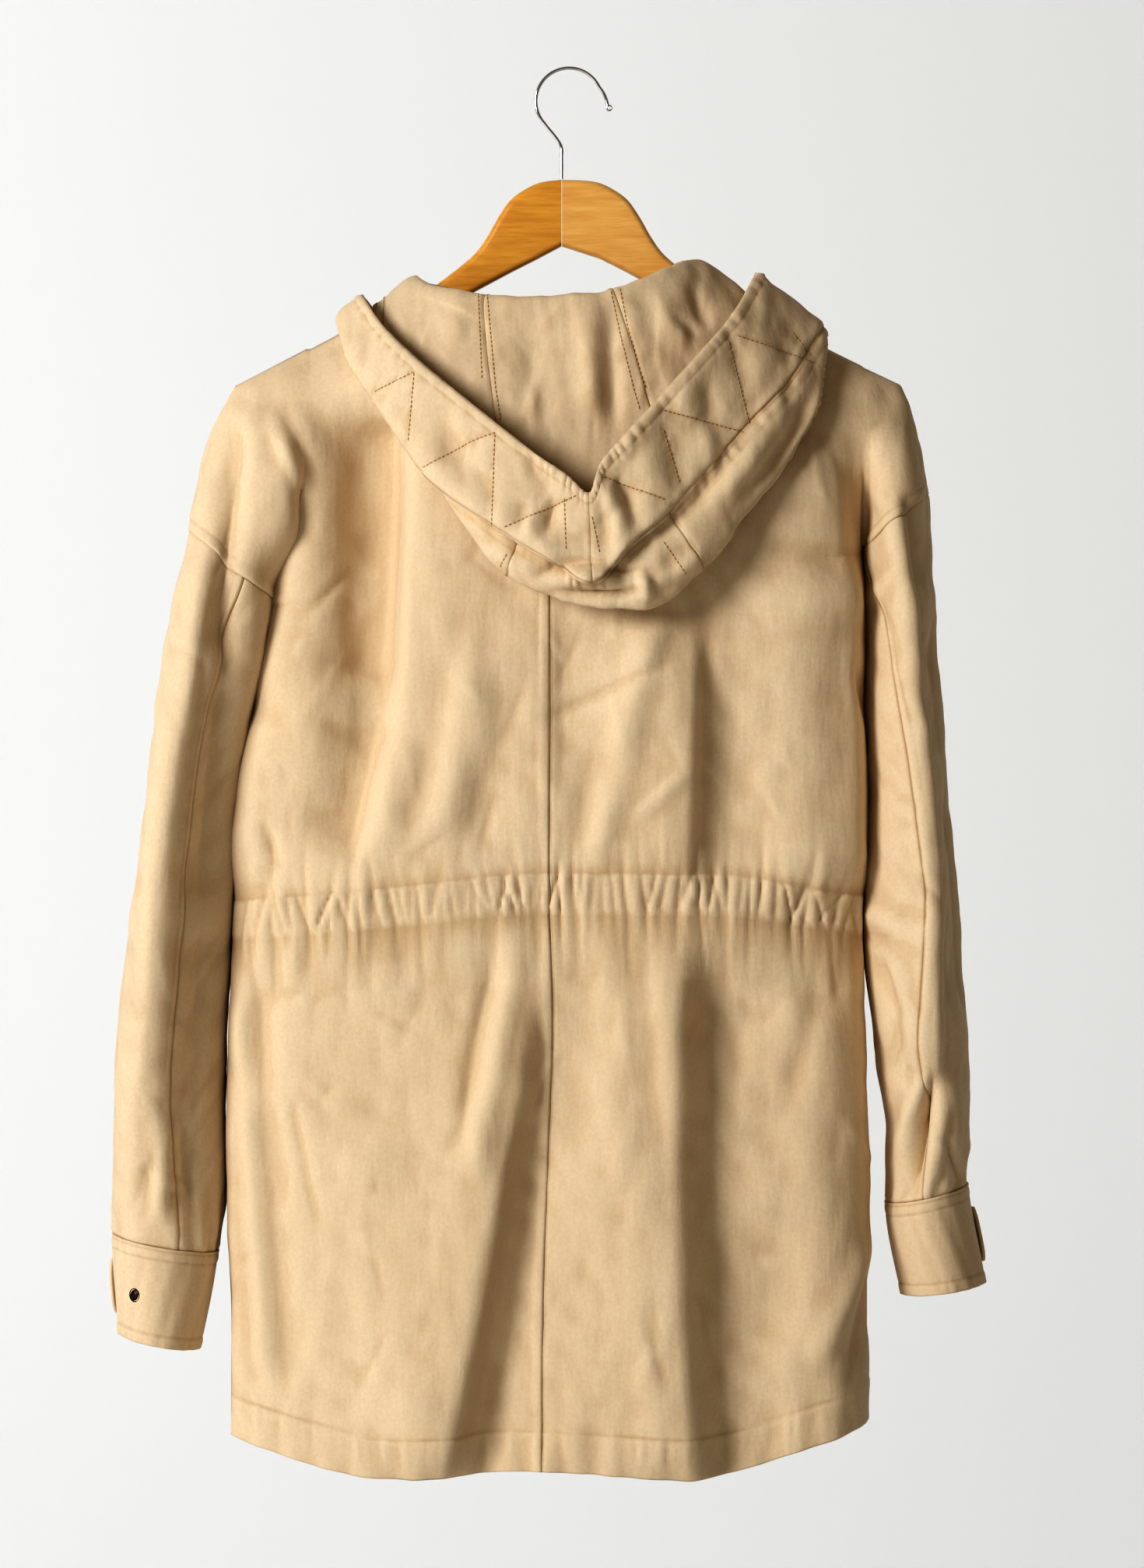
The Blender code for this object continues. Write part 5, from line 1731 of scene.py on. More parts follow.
@dataclass
class Placket:
    """The strip that covers the line where the fronts meet, and its snaps."""

    form: BodyForm
    finish: Material
    thread: Material
    metal: Material
    half: float = 24.0
    clear: float = 0.5
    first: float = 0.1
    last: float = 3.98
    seam: float = 5.0
    columns: int = 33
    snaps: Row = (0.45, 1.216, 1.795, 3.123, 3.411, 3.7)
    cut: Cut = Cut(0.048, 0.75, 0.0345)

    def net(self) -> ClothNet:
        """Lay the strip's outer side over the fronts.

        Returns:
            Its net.
        """
        form = self.form
        v = np.concatenate((refine((self.first, 1.0), 160.0, 3.0), refine((1.0, 3.0), 100.0, 2.6)[1:],
                            refine((3.0, self.last), 365.0, 3.0)[1:]))
        offset = np.linspace(-self.half, self.half, self.columns)
        rows = []
        for at in v:
            row = []
            for side in Side:
                middle, edge = (form.torso(side, share, at, Face.FRONT)[0] for share in (0.0, 1.0))
                part = offset[offset < 0] if side == Side.LEFT else offset[offset >= 0]
                row.append(form.torso(side, part / (edge - middle), at, Face.FRONT))
            rows.append(np.concatenate(row))
        net = ClothNet(offset, v, np.array(rows), (0, Face.FRONT, 0))
        _, down = net.lengths()
        edge = self.half - np.abs(offset)[None]
        height = self.clear + CLOTH_WALL + np.abs(crumple(net.x, net.drop, 51, 24.0, 0.25))
        line = groove(edge - self.seam, 1.1, 0.35) + np.zeros(down.shape)
        for at in self.snaps:
            away = np.hypot(offset[None], down - np.interp(at, v, down[:, self.columns // 2]))
            line += groove(away - 5.5, 3.0, 0.25)
        # The seam's and snaps' furrows get painted shade, as deep as they sink.
        net.lift(height + line, line=np.clip(-line, 0, 1))
        return net

    def build(self) -> None:
        """Make the strip, its sewing and its snaps."""
        net = self.net()
        sew_piece("placket", [net], self.finish)
        sewing = Sewing("placket_topstitching", self.thread)
        inside = self.half - self.seam
        for at in (-inside, inside):
            sewing.along(net, np.full(len(net.v), at), net.v)
        sewing.make()
        for number, at in enumerate(self.snaps, start=1):
            seat, out = net.at(np.array([0.0]), np.array([at]))
            Snap(f"placket_snap_{number}", self.metal).build(seat[0], out[0])


@dataclass
class Snap:
    """A domed snap: a rolled rim, a furrow and a low crown."""

    node: str
    finish: Material
    profile: tuple[Span, ...] = (
        (0.0, 2.55), (1.2, 2.5), (2.3, 2.25), (3.1, 1.8), (3.5, 1.45), (3.8, 1.4), (4.15, 1.6), (4.6, 1.55),
        (4.95, 1.2), (5.0, 0.7), (4.8, 0.2), (4.4, -0.1), (0.0, -0.1),
    )
    steps: int = 36

    def build(self, seat: Array, out: Array) -> None:
        """Turn the snap and set it on the cloth.

        Args:
            seat: the middle of its underside.
            out: the way that it faces.
        """
        bm = bmesh.new()
        line = [bm.verts.new((radius * MM, 0.0, height * MM)) for radius, height in self.profile]
        edges = [bm.edges.new(pair) for pair in zip(line, line[1:])]
        bmesh.ops.spin(bm, geom=line + edges, cent=(0, 0, 0), axis=(0, 0, 1), angle=2 * np.pi,
                       steps=self.steps, use_merge=True)
        bmesh.ops.remove_doubles(bm, verts=bm.verts, dist=WELD * MM)
        bmesh.ops.recalc_face_normals(bm, faces=bm.faces)
        turn = Vector(out).to_track_quat("Z", "Y").to_matrix().to_4x4()
        bmesh.ops.transform(bm, verts=bm.verts, matrix=Matrix.Translation(Vector(seat) * MM) @ turn)
        name = f"{self.node}_dome"
        add_piece(name, from_bmesh(bm, name), self.finish, [self.node])
# Sleeves and cuffs.


@dataclass
class Sleeves:
    """Two-piece sleeves, their cuffs, and the cuffs' tabs and snaps."""

    form: BodyForm
    finish: Material
    thread: Material
    metal: Material
    step: float = 2.7
    columns: int = 72
    cuff_columns: int = 121
    seam_turned: float = 5.0
    cuff_rows: Row = (2.2, 8.6)
    cuff_hem: float = 7.4
    tab_turns: dict[Side, Span] = field(default_factory=lambda: {
        Side.LEFT: (-0.02, -0.186), Side.RIGHT: (-0.02, -0.168),
    })
    tab_clear: Span = (2.4, 0.45)
    tab_rows: Span = (10.32, 10.84)
    tab_wall: float = 1.8
    snap_turn: dict[Side, float] = field(default_factory=lambda: {Side.LEFT: 0.17, Side.RIGHT: 0.93})
    snap_row: float = 10.56
    row_mm: float = 76.0
    cuff_mm: float = 64.0
    past_ends: Span = (0.03, 0.04)
    inner_puffs: dict[Side, float] = field(default_factory=lambda: {Side.LEFT: 0.5, Side.RIGHT: 2.6})
    inner_reach: float = 0.07
    inner_drops: tuple[Span, Span] = ((250.0, 330.0), (600.0, 660.0))
    gathers: Span = (1.3, 20.0)
    seam_line: Span = (1.2, 0.8)
    end_line: Span = (1.4, 0.7)
    beside_line: Span = (1.0, 0.3)
    seam_flap: Span = (0.45, 0.5)
    cuff_flap: Span = (0.35, 0.8)
    cuff_waves: tuple[Row, ...] = ((0.5, 3, 0.0, 30), (0.35, 7, 1.3, 14), (0.2, 16, 2.1, 9))
    cuff_bulges: tuple[Triple, Triple] = ((8.6, 4.0, 0.35), (9.4, 4.0, 0.35))
    # How much shade is painted into the sleeves' and cuffs' furrows.
    painted_furrow_shade: float = 0.6
    cuts: dict[str, Cut] = field(default_factory=lambda: {
        "top": Cut(0.20, 0.49, 0.078), "under": Cut(0.145, 0.46, 0.055), "cuff": Cut(0.245, 0.068, 0.0152),
        "tab": Cut(0.044, 0.036, 0.0015),
    })

    def sleeve_net(self, side: Side) -> ClothNet:
        """A whole sleeve: its top piece is u from 0 to 1 and its under piece from 1 to 2.

        Args:
            side: which sleeve.

        Returns:
            The net.
        """
        form, pad = self.form, 1.0 / self.columns
        u = np.concatenate(([-pad], np.linspace(0.0, 2.0, 2 * self.columns + 1), [2.0 + pad]))
        inner = refine((form.v_seam, form.v_cuff), self.row_mm, self.step)
        before, past = self.past_ends
        v = np.concatenate(([inner[0] - before], inner, [inner[-1] + past]))
        across, row = np.meshgrid(u, v)
        seam = form.seam_turn(side, row)
        piece = across % 2.0
        turn = np.where(piece < 1, -seam + 2 * seam * piece, seam + (1 - 2 * seam) * (piece - 1)) % 1.0
        net = ClothNet(u, v, form.arm(side, turn, row), (side, 0, 0))
        over, down = net.lengths()
        height = arm_relief(side, net.points, turn)
        starts, ends = self.inner_drops
        inner_side = np.exp(-((turn - 0.5) / self.inner_reach) ** 2) * ease(*starts, net.drop)
        height += self.inner_puffs[side] * (inner_side * (1 - ease(*ends, net.drop)))
        from_top, from_cuff = down - down[[1]], down[[-2]] - down
        height *= ease(-1.0, 5.0, from_cuff)
        gathered, reach = self.gathers
        waves = np.sin(across * 34.0 + 2.0 * np.sin(across * 5.0 + side))
        height += gathered * waves * np.exp(-from_cuff / reach) * ease(0.0, 4.0, from_cuff)
        line = groove(from_top, *self.end_line) + groove(from_cuff, *self.end_line)
        flap_height, flap_edge = self.seam_flap
        for at in (0.0, 1.0, 2.0):
            away = over - over[:, [int(np.argmin(np.abs(u - at)))]]
            on_top = away if at != 1.0 else -away
            line += groove(away, *self.seam_line)
            turned = ease(-0.3, 0.3, on_top) * flap(on_top, self.seam_turned, flap_edge)
            height += flap_height * turned * (at != 0.0)
            line += groove(on_top - self.seam_turned, *self.beside_line) * (at != 0.0)
        # The seams' furrows also get painted shade, as deep as they sink.
        net.lift(height + line, line=np.clip(-line, 0, 1) * self.painted_furrow_shade)
        return net

    def cuff_net(self, side: Side) -> ClothNet:
        """A cuff, once round the wrist from its outside.

        Args:
            side: which cuff.

        Returns:
            The net.
        """
        form = self.form
        u = np.linspace(0.0, 1.0, self.cuff_columns)
        v = refine((form.v_cuff, form.v_cuff_edge), self.cuff_mm, 1.3)
        turn, row = np.meshgrid(u, v)
        net = ClothNet(u, v, form.arm(side, turn, row), (side, 0, 0))
        over, down = net.lengths()
        up = down[-1:] - down
        round_it = turn * 2 * np.pi
        soft = sum(size * np.sin(count * round_it + start + down / run)
                   for size, count, start, run in self.cuff_waves)
        flap_height, flap_edge = self.cuff_flap
        height = 0.5 + soft * ease(0.0, 12.0, down) * 0.8 + flap_height * flap(up, self.cuff_hem, flap_edge)
        near_sleeve, near_hem = self.cuff_bulges
        height += pucker(over, down - 5.4, *near_sleeve, 71 + side)
        height += pucker(over, up - 3.4, *near_hem, 73 + side)
        line = groove(up - self.cuff_hem, 1.0, 0.4)
        for at in self.cuff_rows:
            line += groove(down - at, 1.0, 0.35)
        closed = 0.5 - 0.5 * np.cos(np.clip(np.minimum(turn, 1 - turn) / 0.02, 0, 1) * np.pi)
        # The cuff's stitched furrows also get painted shade, as deep as they sink.
        net.lift(0.5 + (height - 0.5) * closed + line, line=np.clip(-line, 0, 1) * self.painted_furrow_shade)
        return net

    def tab_net(self, side: Side) -> ClothNet:
        """A cuff's tab, from its free tip to the end that is sewn on.

        Args:
            side: which cuff.

        Returns:
            The net.
        """
        form = self.form
        tip, sewn = self.tab_turns[side]
        u, v = np.linspace(0.0, 1.0, 24), np.linspace(*self.tab_rows, 24)
        across, row = np.meshgrid(u, v)
        middle = (row - v.mean()) / (v[-1] - v[0]) * 2
        pulled = across + (1 - across) * 0.16 * np.abs(middle) ** 3
        net = ClothNet(u, v, form.arm(side, tip + (sewn - tip) * pulled, row), (side, 0, 0))
        clear = self.tab_clear[0] + (self.tab_clear[1] - self.tab_clear[0]) * across
        rim = np.minimum.reduce([across, (1 - np.abs(middle)) * 0.5])
        net.lift(clear + self.tab_wall + 0.5 - 0.25 * np.exp(-((rim - 0.11) / 0.035) ** 2))
        return net

    def fittings(self, side: Side, cuff: ClothNet, sewing: Sewing) -> None:
        """A cuff's tab and snap.

        Args:
            side: which cuff.
            cuff: the cuff's net.
            sewing: where the rows are added.
        """
        tab = self.tab_net(side)
        sew_piece(f"cuff_tab_{side.word}", [tab], self.finish,
                  self.tab_wall)
        near, far = 0.11, 0.93
        low, high = np.interp((near * 0.9, 1 - near * 0.9), (0, 1), self.tab_rows)
        ring_u = np.concatenate((np.linspace(far, near, 24), np.full(16, near), np.linspace(near, far, 24)))
        ring_v = np.concatenate((np.full(24, low), np.linspace(low, high, 16), np.full(24, high)))
        sewing.along(tab, ring_u, ring_v)
        turn, row = self.snap_turn[side], np.array([self.snap_row])
        if side == Side.LEFT:
            seat, out = cuff.at(np.array([turn]), row)
        else:
            tip, sewn = self.tab_turns[side]
            seat, out = tab.at(np.array([(turn - 1 - tip) / (sewn - tip)]), row)
        Snap(f"cuff_snap_{side.word}", self.metal).build(seat[0], out[0])

    def build(self) -> None:
        """Make the sleeves and the cuffs, with their topstitching and fittings."""
        for side in Side:
            sewing = Sewing(f"sleeve_{side.word}_topstitching", self.thread)
            net = self.sleeve_net(side)
            inside, back_seam = slice(1, len(net.v) - 1), 1 + self.columns
            for first, part in ((1, "top"), (back_seam, "under")):
                piece = net.part(slice(first, first + self.columns + 1), inside)
                sew_piece(f"sleeve_{side.word}_{part}", [piece], self.finish)
            over, _ = net.lengths()
            beside = [np.interp(row[back_seam] - self.seam_turned, row, net.u) for row in over[inside]]
            sewing.along(net, np.array(beside), net.v[inside])
            cuff = self.cuff_net(side)
            sew_piece(f"cuff_{side.word}", [cuff], self.finish)
            _, down = cuff.lengths()
            for at in (*self.cuff_rows, None):
                target = down[-1] - self.cuff_hem if at is None else np.full(len(cuff.u), at)
                rows = [np.interp(target[i], down[:, i], cuff.v) for i in range(len(cuff.u))]
                sewing.along(cuff, cuff.u, np.array(rows))
            self.fittings(side, cuff, sewing)
            sewing.make()


# Hood.


class Layer(Enum):
    """The hood's layers, as someone behind the coat sees them."""

    OUTSIDE = "the layer that hangs outermost"
    INSIDE = "the layer between the fold and the neck, seen through the hood's opening"


@dataclass
class Hood:
    """The hood: a centre panel, two side panels and a quilted brim in two bands."""

    form: HoodForm
    finish: Material
    thread: Material
    row_step: float = 0.045
    band: float = 57.0
    band_columns: int = 27
    body_columns: int = 104
    edge_row: float = 6.2
    seam_rows: Row = (2.0, 8.4)
    step_from: float = 5.2
    step_to: float = 11.6
    step_height: float = 5.6
    relief: float = 2.0
    station_mm: float = 26.0
    puff: Span = (1.5, 10.0)
    quilt_bulges: Triple = (9.0, 5.0, 0.5)
    edge_bulges: Triple = (7.0, 4.2, 0.95)
    seam_bulges: Triple = (7.4, 5.0, 0.9)
    quilt_line: Span = (1.1, 0.35)
    edge_line: Span = (1.2, 0.45)
    brim_line: Span = (1.2, 1.0)
    row_line: Span = (1.1, 0.4)
    panel_line: Span = (1.2, 0.8)
    middle_line: Span = (1.2, 0.6)
    edge_flap: float = 0.6
    # How much shade is painted into the hood's quilting and seam furrows.
    painted_furrow_shade: float = 0.45
    strays: dict[Layer, tuple[int, Span, Span]] = field(default_factory=lambda: {
        Layer.OUTSIDE: (70, (-150, 170), (150, 360)), Layer.INSIDE: (34, (-100, 110), (145, 240)),
    })
    cuts: dict[str, Cut] = field(default_factory=lambda: {
        "band": Cut(0.48, 0.057, 0.0252), "side_left": Cut(0.19, 0.38, 0.0247),
        "side_right": Cut(0.24, 0.42, 0.0445), "centre": Cut(0.15, 0.28, 0.029),
    })
    quilting: tuple[tuple[Span, ...], ...] = (
        ((-130, 224), (-103, 212), (-107, 260)), ((-97, 276), (-64, 259), (-49, 254), (-51, 316)),
        ((-43, 317), (6, 296)), ((112, 187), (165, 203)), ((106, 191), (120, 248)), ((62, 239), (118, 253)),
        ((62, 252), (73, 288)), ((22, 284), (64, 299)), ((150, 182), (164, 200)),
    )
    panel_rows: tuple[tuple[Span, ...], ...] = (
        ((-61, 157), (-58, 217)), ((-55, 158), (-49, 222), (-45, 246)),
        ((28, 156), (35, 189), (43, 222), (47, 236)), ((34, 154), (41, 189), (51, 224)),
        ((-41, 334), (-46, 343)), ((62, 326), (78, 349)), ((-3, 298), (-2, 334)), ((15, 310), (20, 334)),
    )
    creases: dict[Layer, tuple[Crease, ...]] = field(default_factory=lambda: {
        Layer.OUTSIDE: table(
            Crease,
            (-56, 262, -38, 322, 3, 8, 10, 2), (-30, 262, -6, 300, -2, 6, 8, -1.8),
            (-20, 300, -26, 326, 0, 5, 6, 2.2), (-10, 298, -14, 322, 0, 4, 5, -2.2),
            (20, 288, 32, 330, 3, 5, 7, 2.6), (28, 280, 44, 318, 2, 5, 6, -2.2),
            (48, 258, 58, 306, 0, 8, 9, 2), (80, 226, 92, 276, 0, 9, 8, 1.8),
            (100, 212, 78, 262, 0, 8, 9, -1.6), (124, 180, 140, 226, 0, 9, 9, 1.6),
            (-118, 200, -96, 250, 0, 12, 12, 1.4), (-84, 236, -72, 300, 0, 10, 10, -1.6),
            (110, 262, 60, 322, 4, 8, 6, -2.4), (140, 232, 92, 300, 6, 9, 8, 2.2),
            (166, 214, 120, 290, 6, 7, 6, -2), (-20, 348, 22, 341, 3, 3.4, 5, -3.6),
            (22, 341, 54, 347, -2, 4, 4, -2.4), (-10, 353, 34, 350, 2, 4.5, 4, 3),
            (-6, 359, 48, 357, -4, 3.2, 3.6, -4.4), (47, 346, 52, 362, 0, 3.4, 4, 3),
            (-60, 330, -20, 352, 3, 5, 5, 1.8), (58, 352, 88, 330, -3, 5, 5, 1.6),
        ),
        Layer.INSIDE: table(
            Crease,
            (8, 164, 16, 250, 2, 9, 12, 2.6), (28, 170, 30, 250, 0, 8, 6, -2.2),
            (-34, 168, -22, 236, 4, 12, 12, -1.8), (-82, 160, -70, 206, 0, 10, 10, 1.8),
            (-20, 212, -26, 244, 0, 5, 5, 1.4), (58, 150, 78, 196, 0, 8, 8, 1.8),
            (84, 150, 92, 178, 0, 5, 6, -2), (66, 170, 86, 184, 0, 5, 5, -1.4),
        ),
    })

    def whole_net(self) -> tuple[ClothNet, Array, Array]:
        """The whole hood, from the brim's edge to the neckline.

        Returns:
            The net, how far each column lies from the brim's edge at each row, and where the fold lies.
        """
        form = self.form
        stations = np.linspace(0, form.end, int(round(form.end / self.row_step)) + 1)
        rows, places, folds = [], [], []
        for s in stations:
            points, length, fold = form.section(s)
            at = np.concatenate((np.linspace(0.0, self.band, self.band_columns),
                                 np.linspace(self.band, length[-1], self.body_columns)[1:]))
            rows.append(np.stack([np.interp(at, length, points[:, k]) for k in range(3)], axis=-1))
            places.append(at)
            folds.append(fold)
        net = ClothNet(np.arange(len(places[0])), stations, np.array(rows), (0, -1, 0))
        return net, np.array(places), np.array(folds)[:, None]

    def shape(self, net: ClothNet, place: Array, fold: Array) -> None:
        """Raise the hood's quilting, seams and creases.

        Args:
            net: the whole hood's net.
            place: how far each point lies from the brim's edge.
            fold: how far the fold lies from it, row by row.
        """
        x, y, drop, s = net.x, net.points[..., 1], net.drop, net.v[:, None]
        seen = -net.normals()[..., 1]
        outside = (place < fold + 4) * ease(0.0, 0.3, seen)
        inside = (place > fold + 8) * ease(0.0, 0.3, -seen)
        height = crumple(x + y, drop, 83, 34.0, 0.7) + crumple(x, drop + y, 89, 14.0, 0.25)
        for layer, seed, where in ((Layer.OUTSIDE, 59, outside), (Layer.INSIDE, 63, -inside)):
            height += self.relief * crease_height(self.creases[layer], x, drop) * where
            height += crease_height(stray_creases(seed, *self.strays[layer]), x, drop) * where
        on_band, past = place <= self.band + 1e-6, place - self.band
        quilt = self.from_quilting(x, drop, s, place, outside)
        line = groove(quilt, *self.quilt_line) * on_band * (place > 7)
        quilt, (puff, puff_reach) = np.minimum(quilt, 30), self.puff
        height += puff * (1 - np.exp(-((quilt / puff_reach) ** 2))) * on_band
        height += pucker(x + 0.6 * drop, quilt, *self.quilt_bulges, 79) * on_band
        step = ease(self.step_from, self.step_from + 1.5, s) * (1 - ease(self.step_to - 1.5, self.step_to, s))
        over_step = ease(-26.0, -2.0, past) * on_band - 0.9 * np.exp(-np.maximum(past, 0) / 9) * ~on_band
        height += self.step_height * step * over_step
        height += 0.6 * flap(place, self.edge_row, self.edge_flap)
        down_brim = s * self.station_mm
        height += (pucker(down_brim, place - 3.6, *self.edge_bulges, 97)
                   + pucker(down_brim, past - 5.0, *self.seam_bulges, 101))
        line += groove(place - self.edge_row, *self.edge_line)
        line += groove(past, *self.brim_line)
        for at in self.seam_rows:
            line += groove(past - at, *self.row_line) * ~on_band
        run = np.linalg.norm(np.gradient(net.points, axis=0), axis=-1)
        for at in (self.form.centre_from, self.form.centre_to):
            gap = (s - at) * run / self.row_step
            line += groove(gap, *self.panel_line) * ~on_band * np.where(seen > 0, 1, -1)
        line += groove((s - self.form.middle) * run / self.row_step, *self.middle_line) * on_band
        ends = ease(0.0, 4.0, place) * ease(0.0, 10.0, place[:, -1:] - place)
        closing = ease(0.0, 0.3, s) * (1 - ease(self.form.end - 0.3, self.form.end, s))
        # The furrows also get painted shade, as deep as they sink.
        net.lift(height * (0.25 + 0.75 * ends) * closing + line * closing, line=np.abs(line) * self.painted_furrow_shade)

    def from_quilting(self, x: Array, drop: Array, s: Array, place: Array, outside: Array) -> Array:
        """How far each point lies from the quilting: the photo's rows outside, a zigzag where it is hidden.

        Args:
            x: each point's place across.
            drop: its drop.
            s: its row's place round the hood.
            place: how far it lies from the brim's edge.
            outside: how much of it shows outermost.

        Returns:
            The distances.
        """
        quilt = np.full(x.shape, np.inf)
        for row in self.quilting:
            quilt = np.minimum(quilt, polyline_distance(row, x, drop))
        zigzag = 20 * np.abs((place / 26) % 2 - 1)
        hidden = np.full(x.shape, 20.0)
        for k in range(-1, 8):
            hidden = np.minimum(hidden, np.abs(s * 26 - 60 * k - zigzag) / 2)
        return np.where(outside > 0.4, quilt, hidden)

    def stitch(self, net: ClothNet, place: Array, cloth: BVHTree) -> None:
        """Sew the hood's rows.

        Args:
            net: the hood's net, in its final form.
            place: how far each point lies from the brim's edge.
            cloth: the hood's pieces.
        """
        sewing = Sewing("hood_topstitching", self.thread)
        for at in (self.edge_row, *(self.band + row for row in self.seam_rows)):
            sewing.along(net, np.array([np.interp(at, place[j], net.u) for j in range(len(net.v))]), net.v)
        sewing.make()
        quilting = Sewing("hood_quilting", self.thread, stand=0.2)
        for row in self.quilting + self.panel_rows:
            quilting.drawn(cloth, row)
        quilting.make()

    def build(self) -> None:
        """Make the five pieces and their sewing."""
        form = self.form
        net, place, fold = self.whole_net()
        self.shape(net, place, fold)
        row = {at: int(np.argmin(np.abs(net.v - at)))
               for at in (0, form.centre_from, form.middle, form.centre_to, form.end)}
        brim, body = slice(0, self.band_columns), slice(self.band_columns - 1, None)
        parts = (
            ("hood_band_left", 0, form.middle, brim, "band"),
            ("hood_band_right", form.middle, form.end, brim, "band"),
            ("hood_side_left", 0, form.centre_from, body, "side_left"),
            ("hood_centre", form.centre_from, form.centre_to, body, "centre"),
            ("hood_side_right", form.centre_to, form.end, body, "side_right"),
        )
        shell = bmesh.new()
        for node, first, last, columns, cut in parts:
            part = net.part(columns, slice(row[first], row[last] + 1))
            piece = sew_piece(node, [part], self.finish)
            shell.from_mesh(evaluated(piece))
        self.stitch(net, place, BVHTree.FromBMesh(shell))
        shell.free()


# Hanger and hook.


@dataclass
class Hanger:
    """A flat wooden hanger in two halves that are glued together under the hook."""

    form: BodyForm
    finishes: dict[Side, Material]
    joint: float = -5.0
    gap: float = 0.4
    hump: tuple[Span, ...] = (
        (5.0, 75.0), (20.0, 77.0), (31.0, 82.2), (40.0, 89.0), (48.2, 100.7), (55.5, 113.5), (63.5, 124.8),
        (73.4, 133.6), (83.7, 141.6),
    )
    under: tuple[Span, ...] = ((62.0, 150.0), (50.0, 143.6), (38.0, 137.2), (21.0, 128.6), (5.0, 120.2))
    arm: Triple = (93.0, 120.0, 216.0)
    under_ridge: float = 5.4
    tip: tuple[Span, Span] = ((4.0, 6.0), (3.0, 20.0))
    thickness: float = 12.0
    rounding: float = 4.4
    segments: int = 6
    smooth_below: float = 42.0

    def outline(self) -> list[Span]:
        """Half the outline, from the joint round to the joint.

        Returns:
            Its corners, as distance from the middle and drop.
        """
        reaches = np.linspace(self.arm[1], self.arm[-1], 8)
        drops = smooth(self.form.shoulder_reach, self.form.shoulder_drop, reaches) + self.under_ridge
        arm = list(zip(reaches, drops))
        start = (self.arm[0], self.hump[-1][1] + 7.0)
        tip = [(reaches[-1] + out, drops[-1] + down) for out, down in self.tip]
        hump, _, _ = round_path(np.array(self.hump + (start,)), steps=5)
        return [tuple(point) for point in hump] + arm + tip + list(self.under)

    def build(self) -> None:
        """Make the two halves."""
        half = self.thickness / 2
        for side in Side:
            joint = self.joint + side * self.gap / 2
            bm = bmesh.new()
            corners = []
            for reach, drop in self.outline():
                x = joint if reach <= abs(self.joint) else side * reach
                corners.append(bm.verts.new(Vector((x, -half, -drop)) * MM))
            face = bm.faces.new(corners)
            rise = bmesh.ops.extrude_face_region(bm, geom=[face], use_keep_orig=True)
            moved = [item for item in rise["geom"] if isinstance(item, bmesh.types.BMVert)]
            bmesh.ops.translate(bm, verts=moved, vec=Vector((0, self.thickness * MM, 0)))
            bmesh.ops.recalc_face_normals(bm, faces=bm.faces)
            rims = []
            for edge in bm.edges:
                first, second = (vert.co for vert in edge.verts)
                at_joint = abs(first.x - joint * MM) < 1e-6 and abs(second.x - joint * MM) < 1e-6
                if abs(first.y - second.y) < 1e-6 and not at_joint:
                    rims.append(edge)
            bmesh.ops.bevel(bm, geom=rims, offset=self.rounding * MM, offset_type="OFFSET",
                            segments=self.segments, profile=0.5, affect="EDGES", material=-1)
            mesh = from_bmesh(bm, f"hanger_{side.word}_wood")
            mesh.set_sharp_from_angle(angle=np.radians(self.smooth_below))
            add_piece(f"hanger_{side.word}_wood", mesh, self.finishes[side], [f"hanger_{side.word}"])


@dataclass
class Hook:
    """The wire hook, with a flattened tip that ends in a small eye."""

    finish: Material
    wire: float = 1.15
    bow_radius: float = 22.6
    bow_middle: Span = (0.0, 21.4)
    bow_from: float = -8.0
    bow_to: float = 222.0
    tip_flare: float = 4.0
    stem_x: float = -5.1
    stem_from: float = 54.0
    stem_to: float = 74.3
    eye_radius: float = 1.7
    eye_wire: float = 0.6
    eye_offset: float = 0.9
    eye_steps: int = 24
    wire_rounds: int = 6

    def route(self) -> Array:
        """The wire's middle line, from its tip over the bow to the foot of the stem.

        Returns:
            Its points, as place across and drop.
        """
        angles = np.radians(np.linspace(self.bow_from, self.bow_to, 60))
        flare = self.tip_flare * np.clip((np.radians(25.0) - angles) / np.radians(33.0), 0, 1)
        radius = self.bow_radius + flare
        x = self.bow_middle[0] + radius * np.cos(angles)
        drop = self.bow_middle[1] - radius * np.sin(angles)
        stem = [[x[-1], drop[-1]], [self.stem_x - 0.4, self.stem_from - 2.0],
                [self.stem_x, self.stem_from + 6.0], [self.stem_x, self.stem_to]]
        bend, _, _ = round_path(np.column_stack([np.array(stem), np.zeros(4)]), steps=10)
        return np.vstack([np.column_stack([x, drop])[:-1], bend[:, :2]])

    def build(self) -> None:
        """Make the hook."""
        curve = bpy.data.curves.new("hook_wire", "CURVE")
        curve.use_fill_caps = True
        route = self.route()
        line = curve.splines.new("POLY")
        line.points.add(len(route) - 1)
        for point, (x, drop) in zip(line.points, route):
            point.co = (x * MM, 0.0, -drop * MM, 1.0)
        eye = curve.splines.new("POLY")
        eye.use_cyclic_u = True
        eye.points.add(self.eye_steps - 1)
        middle = route[0] + self.eye_offset
        for point, angle in zip(eye.points, np.linspace(0, 2 * np.pi, self.eye_steps, endpoint=False)):
            x, drop = middle + self.eye_radius * np.array([np.cos(angle), np.sin(angle)])
            point.co = (x * MM, 0.0, -drop * MM, 1.0)
            point.radius = self.eye_wire / self.wire
        mesh = curve_mesh(curve, self.wire, self.wire_rounds)
        add_piece("hook_wire", mesh, self.finish, ["hook"])
# Studio.


